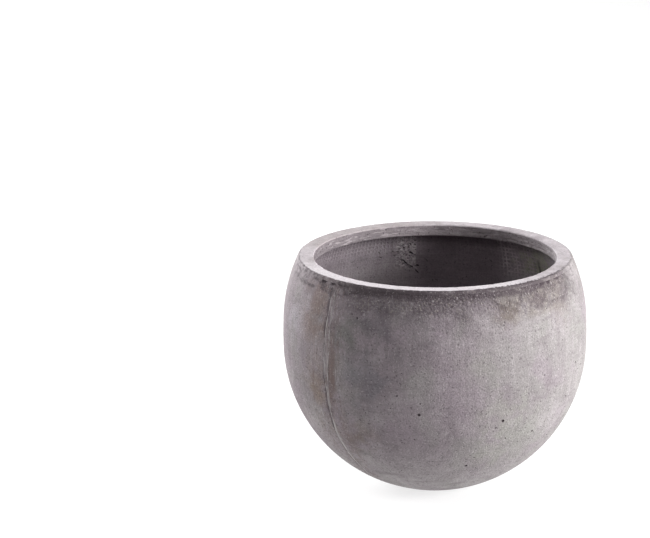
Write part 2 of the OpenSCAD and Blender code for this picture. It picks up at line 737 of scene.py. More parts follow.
    def crisp(self, mesh: Socket, angle: float = 35.0) -> Socket:
        """Shades a mesh smooth, apart from its sharp edges.

        Args:
            mesh: The mesh.
            angle: The least angle of a sharp edge, in degrees.

        Returns:
            The shaded mesh.
        """
        smooth = self.add("GeometryNodeSetShadeSmooth", {"Geometry": mesh, "Shade Smooth": True})
        sharp = self.add("FunctionNodeCompare",
                         {0: self.add("GeometryNodeInputMeshEdgeAngle"), 1: math.radians(angle)},
                         operation="GREATER_THAN")
        return self.add("GeometryNodeSetShadeSmooth",
                        {"Geometry": smooth, "Selection": sharp, "Shade Smooth": False},
                        domain="EDGE")


class Surface(Tree):
    """A material in the making: its node tree and the places that its patterns read."""

    def __init__(self, name: str) -> None:
        """Begins a material with a place in metres, an azimuth and a height.

        Args:
            name: The material's name.
        """
        self.material = bpy.data.materials.new(name)
        self.material.use_nodes = True
        super().__init__(self.material.node_tree)
        self.place = self.add("ShaderNodeTexCoord", out="Object")
        x, y, self.height = self.add("ShaderNodeSeparateXYZ", {0: self.place}).node.outputs
        turn = self.add("ShaderNodeMath", {0: x, 1: self.times(y, -1.0)}, operation="ARCTAN2")
        self.azimuth = self.add("ShaderNodeMath", {0: turn}, operation="DEGREES")

    def mottle(
        self, size: float, low: float = 0.35, high: float = 0.65, seed: int = 0,
        tall: float = 1.0, detail: float = 3.0, wide: float = 1.0,
    ) -> Socket:
        """A cloudy pattern from 0 to 1.

        Args:
            size: Width of its clouds in millimetres.
            low: Noise value that becomes 0.
            high: Noise value that becomes 1.
            seed: Which of many like patterns it is.
            tall: How many times taller the clouds are.
            detail: How many finer copies are added.
            wide: How many times wider the clouds are.

        Returns:
            The pattern's value.
        """
        width, height = size * MM * wide, size * MM * tall
        spot = self.add("ShaderNodeVectorMath",
                        {0: self.place, 1: (1 / width, 1 / width, 1 / height)},
                        operation="MULTIPLY")
        noise = self.add("ShaderNodeTexNoise",
                         {"Vector": spot, "W": float(seed), "Scale": 1.0, "Detail": detail},
                         noise_dimensions="4D")
        return self.add("ShaderNodeMapRange",
                        {"Value": noise, "From Min": low, "From Max": high},
                        interpolation_type="SMOOTHSTEP")

    def around(self, low: float, high: float, soft: float) -> Socket:
        """A share that is 1 between two azimuths and 0 soft beyond them, in degrees."""
        return self.window(self.azimuth, low, high, soft)

    def between(self, low: float, high: float, soft: float) -> Socket:
        """A share that is 1 between two heights and 0 soft beyond them, in millimetres."""
        return self.window(self.height, low * MM, high * MM, soft * MM)

    def spot(self, centre: Vector, radius: float, ragged: Socket) -> Socket:
        """A soft round spot.

        Args:
            centre: Its middle.
            radius: Where it has faded away.
            ragged: Moves its border out and in, 0.5 for not at all.

        Returns:
            Its share, 1 at the middle.
        """
        away = self.add("ShaderNodeVectorMath", {0: self.place, 1: centre}, out="Value",
                        operation="DISTANCE")
        torn = self.add("ShaderNodeMath", {0: ragged, 1: radius, 2: away}, operation="MULTIPLY_ADD")
        return self.add("ShaderNodeMapRange",
                        {"Value": torn, "From Min": 1.5 * radius, "From Max": 0.5 * radius},
                        interpolation_type="SMOOTHSTEP")

    def held(self, label: str) -> Socket:
        """The number that the mesh itself holds under a label."""
        return self.add("ShaderNodeAttribute", out="Fac", attribute_name=label)

    def layers(self, ground: str, coats: Iterable[Coat]) -> Socket:
        """Lays coats of colour over a ground.

        Args:
            ground: The ground's sRGB colour.
            coats: The coats, in order.

        Returns:
            The colour on top.
        """
        colour: Socket | Colour = linear(ground)
        for tint, share, strength in coats:
            links = {0: self.times(share, strength), 6: colour, 7: linear(tint)}
            colour = self.add("ShaderNodeMix", links, out=2, data_type="RGBA")
        return colour

    def close(
        self, colour: Socket | Colour, rough: Socket | float | tuple[Socket, float, float],
        bumps: Iterable[tuple[Socket, float]] = (), **inputs: object,
    ) -> bpy.types.Material:
        """Ends the tree with the main shader.

        Args:
            colour: Its base colour.
            rough: Its roughness, or a pattern with the roughness at 0 and at 1.
            bumps: Its fine relief: for each bump a pattern and a height in millimetres.
            inputs: Its other inputs, named with underscores.

        Returns:
            The finished material.
        """
        if isinstance(rough, tuple):
            pattern, smoothest, roughest = rough
            rough = self.add("ShaderNodeMapRange",
                             {"Value": pattern, "To Min": smoothest, "To Max": roughest})
        links = {"Base Color": colour, "Roughness": rough}
        for pattern, height in bumps:
            under = {"Normal": links["Normal"]} if "Normal" in links else {}
            links["Normal"] = self.add("ShaderNodeBump", {"Height": pattern, "Strength": 1.0,
                                                          "Distance": height * MM, **under})
        links |= {name.replace("_", " "): value for name, value in inputs.items()}
        shader = self.add("ShaderNodeBsdfPrincipled", links)
        self.add("ShaderNodeOutputMaterial", {"Surface": shader})
        return self.material


# ---------------------------------------------------------------------------- finishes


@dataclass(frozen=True)
class Stain:
    """A stain on the bowl's outside.

    Attributes:
        azimuth: Where its middle is, in degrees.
        height: Height of its middle, in millimetres.
        radius: Where it has faded away, in millimetres from its middle.
        tint: Its sRGB colour.
        strength: How much of it covers the concrete.
    """

    azimuth: float
    height: float
    radius: float
    tint: str
    strength: float

    def coat(self, face: Surface, form: BowlForm, ragged: Socket) -> Coat:
        """The coat that shows it, with a ragged border."""
        centre = form.place(self.azimuth, self.height * MM)
        return self.tint, face.spot(centre, self.radius * MM, ragged), self.strength


@dataclass(frozen=True)
class MouldedConcrete:
    """Concrete cast against a mould: matt, mottled mauve grey, weathered under the rim.

    The faces of the seam's thin film of cement carry the attribute "film".
    """

    form: BowlForm
    ground: str = "#999193"
    dark: str = "#766d71"
    light: str = "#b0a9ab"
    olive: str = "#8c8c86"
    violet: str = "#8f818b"
    lit_side_tint: str = "#959490"
    # Dark pores, also used for painted shadow beside the seam.
    pore_and_shade: str = "#4e464a"
    # Near black, for soot and for painted shade.
    soot_and_shade: str = "#453b40"
    # A pale lime colour, also used for painted light low down and on the seam's film.
    lime_and_light: str = "#c2bcbc"
    sand: str = "#a0978f"
    grains: str = "#b7aea9"
    loam: str = "#7d7670"
    rust: str = "#74625d"
    stains: tuple[Stain, ...] = (
        Stain(-54.0, 246, 38, "#826e69", 0.60), Stain(-56.0, 220, 34, "#877671", 0.60),
        Stain(-53.5, 158, 30, "#85776a", 0.50), Stain(-50.5, 138, 22, "#877562", 0.50),
        Stain(-38.5, 84, 28, "#6f5f57", 0.50), Stain(-30.8, 100, 24, "#7a6a62", 0.35),
        Stain(-27.8, 170, 40, "#6e6c73", 0.50), Stain(-33.9, 226, 30, "#6e7069", 0.45),
        Stain(-12.0, 205, 36, "#746c70", 0.40), Stain(16.0, 188, 34, "#96978d", 0.35),
        Stain(26.0, 122, 44, "#96968c", 0.40), Stain(23.0, 72, 34, "#94948a", 0.40),
        Stain(4.6, 151, 34, "#8b7f87", 0.35), Stain(-68.0, 215, 34, "#aaa4ac", 0.45),
        Stain(-58.0, 92, 44, "#aca4a4", 0.50), Stain(-24.0, 240, 40, "#625c62", 0.60),
        Stain(-6.0, 238, 30, "#6b6468", 0.40), Stain(-37.0, 216, 26, "#686964", 0.45),
        Stain(12.0, 236, 26, "#736c6e", 0.35), Stain(38.0, 96, 60, "#979690", 0.50),
    )
    # Dirt that lies over the sand on the shoulder.
    grime: tuple[Stain, ...] = (
        Stain(43.5, 256, 20, "#574c50", 0.60), Stain(60.0, 250, 20, "#5f565b", 0.60),
        Stain(28.5, 247, 22, "#65594f", 0.50), Stain(56.0, 236, 26, "#8b8380", 0.45),
    )

    def weathered(self, face: Surface) -> Socket:
        """Where weather has darkened the shoulder, ragged at its border.

        Args:
            face: The material that it joins.

        Returns:
            Its share, 1 where it is darkest.
        """
        lowered = face.add("ShaderNodeMath",
                           {0: face.mottle(22, 0.2, 0.8, 20), 1: 22 * MM, 2: face.height},
                           operation="MULTIPLY_ADD")
        shoulder = face.window(lowered, 272 * MM, 400 * MM, 24 * MM)
        return face.times(shoulder, face.around(-26, 58, 22))

    def coats(self, face: Surface) -> list[Coat]:
        """The coats of colour, from the mould's print to the weather's, and painted light and
        shade.

        Args:
            face: The material that they join.

        Returns:
            The coats, in order.
        """
        mottle, around, between, times = face.mottle, face.around, face.between, face.times
        seam, weathered = self.form.seams[0], self.weathered(face)
        film, hollow, chip = (face.held(label) for label in ("film", "hollow", "chip"))
        beside = around(seam + 2.2, seam + 4.2, 1.6)
        # Painted shadow: a dark line along the left flank of the seam's film.
        flank_shadow = around(seam - 1.0, seam - 0.3, 0.6)
        near = around(seam - 8, seam + 6, 4.0)
        # Right under the rim the dark is thickest: partly grime, partly painted shadow of its edge.
        # It thins out to both sides of the front.
        brow = times(between(269, 400, 6), around(-36, 44, 18), mottle(6, 0.25, 0.55, 21, wide=2.5))
        patchy = times(around(30, 56, 12), between(244, 268, 10))
        upper = times(around(26, 66, 12), between(251, 266, 9))
        spotted = times(between(263, 400, 5), around(-74, -40, 14),
                        mottle(5, 0.42, 0.66, 26, detail=8.0, wide=1.6))
        # Low down the seam's groove gets little painted shade, and its film is an unbroken pale
        # line.
        low_seam = times(between(0, 96, 18), around(seam - 3.0, seam + 3.0, 1.0))
        hollow_shade = face.add("ShaderNodeMapRange", {"Value": low_seam, "To Min": 1.0, "To Max": 0.2})
        pale_stretch = between(40, 96, 18)
        thin_line = times(pale_stretch, around(seam - 0.1, seam + 0.4, 0.35),
                          mottle(6, 0.25, 0.55, 34, tall=4.0))
        # Painted shade: chipped faces are painted dark, for the shadow in the chips.
        chipped = face.add("ShaderNodeMapRange", {"Value": chip, "From Min": 0.05, "From Max": 0.3})
        ragged, dirt = mottle(16, 0.2, 0.8, 3), mottle(7, 0.2, 0.8, 33, detail=6.0)
        # Sand and pores are finer than a millimetre. They are drawn twice as coarse, to show.
        return [
            # Painted shade and light: the shaded front and left are tinted violet, the lit right
            # neutral.
            (self.violet, around(-95, 0, 40), 0.50),
            (self.lit_side_tint, around(30, 110, 22), 0.60),
            # Painted light: paler towards the base, for the light thrown up from below.
            (self.lime_and_light, between(-1, 28, 70), 0.70),
            (self.dark, mottle(95, seed=1), 0.45),
            (self.light, mottle(42, 0.45, 0.7, 2), 0.45),
            (self.olive, mottle(44, 0.50, 0.64, 4, tall=1.8), 0.36),
            (self.violet, mottle(48, 0.5, 0.68, 6), 0.45),
            (self.dark, mottle(9, 0.48, 0.75, 7, tall=9.0), 0.50),
            (self.light, mottle(7, 0.5, 0.78, 8, tall=12.0), 0.35),
            (self.dark, mottle(7, 0.50, 0.75, 9, wide=5.0), 0.50),
            (self.light, mottle(5, 0.52, 0.78, 10, wide=6.0), 0.30),
            *(stain.coat(face, self.form, ragged) for stain in self.stains),
            (self.rust, times(beside, between(152, 182, 46), mottle(9, 0.3, 0.6, 14, 4.0)), 0.75),
            (self.rust, times(near, mottle(8, 0.42, 0.62, 15, tall=7.0)), 0.30),
            (self.pore_and_shade, times(flank_shadow, mottle(4, 0.38, 0.56, 22, 3.0)), 0.75),
            (self.soot_and_shade, times(weathered, mottle(18, 0.25, 0.6, 23, wide=1.6)), 0.62),
            (self.soot_and_shade, times(weathered, mottle(3.4, 0.45, 0.62, 16)), 0.45),
            (self.sand, times(weathered, mottle(2.6, 0.54, 0.68, 17)), 0.55),
            (self.sand, times(patchy, mottle(5, 0.40, 0.65, 24, detail=6.0)), 0.30),
            (self.loam, times(patchy, mottle(16, 0.30, 0.60, 32)), 0.60),
            (self.soot_and_shade, times(upper, mottle(9, 0.40, 0.66, 25, detail=8.0)), 0.70),
            (self.grains, times(patchy, mottle(1.9, 0.55, 0.68, 31)), 0.50),
            *(stain.coat(face, self.form, dirt) for stain in self.grime),
            (self.soot_and_shade, brow, 0.85),
            (self.soot_and_shade, spotted, 0.85),
            (self.pore_and_shade, mottle(1.9, 0.3, 0.8, 11), 0.42),
            (self.lime_and_light, mottle(2.2, 0.58, 0.74, 13, detail=1.0), 0.35),
            (self.pore_and_shade, mottle(2.4, 0.62, 0.70, 12, detail=1.0), 0.65),
            (self.rust, times(near, mottle(2.4, 0.52, 0.68, 28, tall=9.0)), 0.50),
            (self.lime_and_light, times(near, mottle(2.2, 0.58, 0.72, 29, tall=7.0)), 0.45),
            # The seam's film is painted pale: partly the cement's own colour, partly painted
            # highlight of its lit flank.
            (self.lime_and_light, times(film, mottle(3, 0.38, 0.58, 27, tall=3.0)), 0.80),
            (self.lime_and_light, thin_line, 0.55),
            (self.lime_and_light, times(film, pale_stretch), 0.85),
            (self.soot_and_shade, chipped, 0.95),
            # Painted shade inside the air holes and the seam's groove.
            (self.soot_and_shade, times(hollow, hollow_shade), 0.90),
        ]

    def material(self) -> bpy.types.Material:
        """Makes the material.

        Returns:
            The finished material.
        """
        face = Surface("mould cast concrete")
        grit = face.mottle(2.0, 0.25, 0.75, 11, detail=4.0)
        bumps = [(face.mottle(14, 0.2, 0.8, 18), 0.35), (grit, 0.28),
                 (face.times(self.weathered(face), face.mottle(3.0, 0.3, 0.7, 19)), 0.6)]
        return face.close(face.layers(self.ground, self.coats(face)), (grit, 0.82, 0.95), bumps,
                          IOR=1.5, Specular_IOR_Level=0.35)


@dataclass(frozen=True)
class RubbedConcrete:
    """Stiff concrete trowelled and rubbed flat: a pale top between a grimy side and the lip."""

    form: BowlForm
    mouth_radius: float
    wall: MouldedConcrete
    ground: str = "#c5bdc1"
    dark: str = "#9d9398"
    light: str = "#e0d9dd"
    tan: str = "#a49a99"
    lip: str = "#898184"
    streak: str = "#5f575b"
    crust: str = "#b0a8aa"
    soot_and_shade: str = "#453b40"

    def material(self) -> bpy.types.Material:
        """Makes the material.

        Returns:
            The finished material.
        """
        face = Surface("rubbed concrete")
        mottle, around, times = face.mottle, face.around, face.times
        radius, top = face.radius(face.place), self.form.height
        rim = self.form.shoulder.radius_at(top)
        # The rubbing has stopped at an uneven line, a little in from the outer edge.
        torn = face.add("ShaderNodeMath", {0: mottle(6, 0.2, 0.8, 30), 1: 2.2 * MM, 2: radius},
                        operation="MULTIPLY_ADD")
        nicked = times(around(26, 72, 14), mottle(2.4, 0.35, 0.65, 42), 3.0 * MM)
        rubbed = face.window(face.joined("ADD", torn, nicked), 0.0, rim - 1.4 * MM, 1.4 * MM)
        lip = times(face.window(face.height, 0.0, top - 2.2 * MM, 1.2 * MM),
                    face.window(radius, 0.0, self.mouth_radius + 0.9 * MM, 0.5 * MM))
        coats = [
            (self.dark, mottle(34, 0.45, 0.68, 32), 0.55),
            (self.tan, mottle(22, 0.52, 0.68, 41), 0.50),
            (self.light, mottle(20, 0.48, 0.7, 33), 0.50),
            # Painted highlight: the front of the flat top is painted lighter, for the grazing sheen
            # of the lamps behind.
            # Painted shade: the back left of the flat top is painted darker.
            (self.light, around(-66, 34, 14), 0.85),
            (self.tan, around(-168, -112, 16), 0.55),
            (self.lip, lip, 0.95),
            (self.streak, times(lip, around(-150, -80, 16)), 0.42),
            (self.streak, times(lip, mottle(2.4, 0.5, 0.68, 34, wide=9.0)), 0.65),
            (self.crust, times(lip, mottle(3.4, 0.50, 0.66, 35, wide=4.0)), 0.60),
            (self.soot_and_shade, times(lip, mottle(3.2, 0.60, 0.68, 36)), 0.8),
            (self.wall.pore_and_shade, mottle(2.0, 0.3, 0.8, 31), 0.30),
            (self.soot_and_shade, mottle(2.6, 0.66, 0.74, 38, detail=1.0), 0.45),
        ]
        side = face.layers(self.wall.ground, self.wall.coats(face))
        colour = face.add("ShaderNodeMix", {0: rubbed, 6: side, 7: face.layers(self.ground, coats)},
                          out=2, data_type="RGBA")
        grit = mottle(2.0, 0.25, 0.75, 31, detail=4.0)
        bumps = [(mottle(12, 0.2, 0.8, 39), 0.25), (grit, 0.15),
                 (times(lip, mottle(2.6, 0.3, 0.7, 40, wide=5.0)), 0.5)]
        return face.close(colour, (grit, 0.75, 0.9), bumps, IOR=1.5, Specular_IOR_Level=0.35)


@dataclass(frozen=True)
class BrushedSlurry:
    """Thin cement slurry brushed over a net: darker, and its 5 mm weave prints through."""

    form: BowlForm
    inset: float
    flaked_azimuth: float = -172.9
    meshes_round: int = 208
    mesh_height: float = 5 * MM
    thread_power: float = 6.0
    ground: str = "#999095"
    dark: str = "#796f75"
    light: str = "#a69da1"
    pale: str = "#c0b7ba"
    chalk: str = "#e2d9dc"
    olive: str = "#c6c9b4"
    soot_and_shade: str = "#352c31"

    def weave(self, face: Surface) -> Socket:
        """The print of the net.

        Args:
            face: The material that it joins.

        Returns:
            Its share: 1 over a thread and 0 in the middle of a mesh.
        """
        half_turns = math.pi / 360 * self.meshes_round
        threads = []
        for way, pitch in ((face.azimuth, half_turns), (face.height, math.pi / self.mesh_height)):
            wave = face.add("ShaderNodeMath", {0: face.times(way, pitch)}, operation="COSINE")
            lobe = face.add("ShaderNodeMath", {0: wave}, operation="ABSOLUTE")
            threads.append(face.add("ShaderNodeMath", {0: lobe, 1: self.thread_power},
                                    operation="POWER"))
        return face.highest(*threads)

    def material(self) -> bpy.types.Material:
        """Makes the material.

        Returns:
            The finished material.
        """
        face = Surface("brushed cement slurry")
        mottle, around, between, times = face.mottle, face.around, face.between, face.times
        below_lip = times(between(246, 300, 12), around(-172, -128, 8))
        bared = times(between(220, 258, 9), around(133, 147, 5))
        shown = face.highest(mottle(55, 0.50, 0.66, 52), below_lip, bared)
        thread = self.weave(face)
        grit = mottle(2.0, 0.25, 0.75, 53, detail=4.0)
        green = face.spot(self.form.place(131, 232 * MM, self.inset), 40 * MM,
                          mottle(12, 0.2, 0.8, 51))
        streak = times(around(129, 131.5, 1.2), between(226, 238, 8), mottle(5, 0.35, 0.6, 54, 4.0))
        # The skim is rough and pale up to where it has flaked, and dark and smooth past that.
        edge = self.flaked_azimuth
        torn_off = times(around(edge, -100, 0.3), around(-180, -166.5, 4), between(222, 262, 9))
        # Past the flaked edge the wall is painted darker: partly stain, partly painted shade where
        # the key light doesn't reach.
        smooth = times(between(232, 300, 44), around(-190, edge - 0.4, 0.4))
        # The tones round the wall die away lower down, so that they don't meet on the floor.
        upper = between(140, 340, 40)
        coats = [
            (self.dark, mottle(70, 0.4, 0.62, 55), 0.45),
            (self.light, mottle(30, 0.5, 0.7, 56), 0.50),
            (self.dark, mottle(8, 0.45, 0.72, 57, wide=6.0), 0.45),
            (self.light, mottle(6, 0.5, 0.75, 58, wide=8.0), 0.35),
            (self.dark, mottle(2.2, 0.50, 0.70, 65, wide=12.0), 0.62),
            (self.light, mottle(2.0, 0.54, 0.72, 66, wide=12.0), 0.55),
            # Painted light: the left of the inner wall is painted paler where the key light falls
            # on it.
            (self.pale, times(upper, around(-165, -60, 6), mottle(13, 0.36, 0.62, 62, 1.6)), 0.22),
            (self.dark, times(upper, around(-132, -60, 18)), 0.55),
            (self.dark, smooth, 0.34),
            # Painted shade, partly stain: the back and right of the inner wall are darker.
            (self.dark, times(upper, around(-190, -178, 5)), 0.40),
            (self.dark, times(upper, around(158, 190, 18)), 0.55),
            (self.pale, times(upper, around(108, 138, 16)), 0.80),
            # Painted light lower down on the left of the inner wall.
            (self.pale, times(between(140, 214, 22), around(-166, -120, 12)), 0.50),
            (self.pale, times(torn_off, mottle(3.4, 0.36, 0.58, 61)), 0.90),
            (self.soot_and_shade, times(torn_off, mottle(2.2, 0.50, 0.62, 63, wide=2.0)), 0.75),
            (self.chalk, times(torn_off, mottle(1.9, 0.52, 0.64, 64, wide=1.8)), 0.90),
            (self.olive, green, 0.90),
            (self.soot_and_shade, streak, 0.65),
            (self.light, times(shown, thread, mottle(14, 0.3, 0.6, 67)), 0.38),
            (self.chalk, times(bared, thread, mottle(9, 0.3, 0.62, 68)), 0.78),
            (self.soot_and_shade, grit, 0.30),
            # Painted shadow under the lip's overhang, partly dirt: darker just below the lip.
            (self.soot_and_shade, between(260, 300, 16), 0.60),
            (self.soot_and_shade, mottle(2.6, 0.64, 0.72, 59, detail=1.0), 0.55),
            # Painted highlight on the raised flakes, and painted shade in the hollows they have
            # left.
            (self.pale, face.held("flake"), 0.75),
            (self.soot_and_shade, face.held("loss"), 0.95),
        ]
        bumps = [(mottle(16, 0.2, 0.8, 60, wide=2.0), 0.5), (times(shown, thread), 0.35),
                 (grit, 0.2)]
        return face.close(face.layers(self.ground, coats), (grit, 0.8, 0.95), bumps,
                          IOR=1.5, Specular_IOR_Level=0.3)


@dataclass(frozen=True)
class FibreConcrete:
    """Concrete with chopped glass fibres: rough, grey, with short pale hairs in it."""

    ground: str = "#837c7a"
    dark: str = "#625b5a"
    fibre: str = "#c9c6bb"

    def material(self) -> bpy.types.Material:
        """Makes the material.

        Returns:
            The finished material.
        """
        face = Surface("fibre reinforced concrete")
        grit = face.mottle(1.6, 0.25, 0.75, 71, detail=4.0)
        # A fibre is hair thin and 12 to 25 mm long. It is drawn half a millimetre wide.
        upright = face.mottle(0.8, 0.68, 0.74, 72, tall=14.0, detail=0.0)
        level = face.mottle(0.8, 0.68, 0.74, 73, wide=12.0, detail=0.0)
        coats = [(self.dark, face.mottle(20, seed=75), 0.5), (self.dark, grit, 0.5),
                 (self.fibre, upright, 0.8), (self.fibre, level, 0.8)]
        return face.close(face.layers(self.ground, coats), 0.92, [(grit, 0.4), (upright, 0.2)],
                          IOR=1.5)


@dataclass(frozen=True)
class GlassYarn:
    """Alkali resistant glass yarn, resin sized: off-white, faintly glossy along the yarn."""

    ground: str = "#d8d6c8"
    shade: str = "#b3b09f"
    slurry: str = "#8a8381"

    def material(self) -> bpy.types.Material:
        """Makes the material.

        Returns:
            The finished material.
        """
        face = Surface("glass yarn")
        strands = face.mottle(0.6, 0.3, 0.7, 81)
        coats = [(self.shade, strands, 0.6), (self.slurry, face.mottle(9, 0.5, 0.62, 82), 0.6)]
        return face.close(face.layers(self.ground, coats), 0.45, [(strands, 0.05)], IOR=1.55)


@dataclass(frozen=True)
class MouldedRubber:
    """Black natural rubber from a blasted mould: matt, with a dusty bloom."""

    ground: str = "#2c2b2d"
    bloom: str = "#4a484a"

    def material(self) -> bpy.types.Material:
        """Makes the material.

        Returns:
            The finished material.
        """
        face = Surface("moulded rubber")
        grain = face.mottle(0.9, 0.3, 0.7, 91)
        coats = [(self.bloom, face.mottle(7, 0.42, 0.7, 92), 0.55), (self.bloom, grain, 0.25)]
        return face.close(face.layers(self.ground, coats), (grain, 0.6, 0.78), [(grain, 0.06)],
                          IOR=1.52)


# ---------------------------------------------------------------------------- pieces


def settle(piece: bpy.types.Object, body: str, node: str) -> None:
    """Ties a finished piece to the CAD model and reports it.

    Args:
        piece: The piece, with its place in its mesh.
        body: The body that it moves with.
        node: The CAD node that it stands for.
    """
    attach(piece, body)
    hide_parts(node)
    mesh = piece.data
    triangles = sum(len(p.vertices) - 2 for p in mesh.polygons)
    log.info("%s: %d triangles, finish %s", piece.name, triangles, mesh.materials[0].name)


@dataclass(frozen=True)
class Sizes:
    """Sizes of the CAD model that the boxes of its nodes don't give.

    Attributes:
        face: Thickness of the face coat.
        net: Depth of the net's middle below the outside.
        net_half: Half the thickness of the net.
        skim: Depth of the skim's outer face.
        wall: Thickness of the whole wall.
        floor: Height of the floor inside the bowl.
        mouth: Radius of the mouth.
        drain: Radius of the drain hole.
        stem: Radius of the plug's stem.
        strips: Number of strips of net round the wall.
        strip_gap: Gap between two strips at the belly, and between them and the dish.
        dish_hole: Radius of the hole in the dish of net.
    """

    face: float = 3 * MM
    net: float = 9.5 * MM
    net_half: float = 0.5 * MM
    skim: float = 10 * MM
    wall: float = 11 * MM
    floor: float = 14 * MM
    mouth: float = 143.5 * MM
    drain: float = 12 * MM
    stem: float = 11.7 * MM
    strips: int = 8
    strip_gap: float = 3 * MM
    dish_hole: float = 18 * MM


@dataclass(frozen=True)
class SeamLine:
    """A line along each seam of the mould, in millimetres and degrees.

    Attributes:
        low: Height of its foot.
        high: Height of its head.
        aside: How many degrees it leans off the seam on its way up.
    """

    low: float
    high: float
    aside: float


@dataclass(frozen=True)
class Sway:
    """A slow swing to both sides of a mean, on the way up.

    Attributes:
        mean: What it swings about.
        size: How far it swings.
        length: The millimetres of height in which it turns by one radian.
    """

    mean: float
    size: float
    length: float

    def at(self, rise: float, start: float) -> float:
        """Its value at a height in millimetres, from a starting turn in radians."""
        return self.mean + self.size * math.sin(rise / self.length + start)


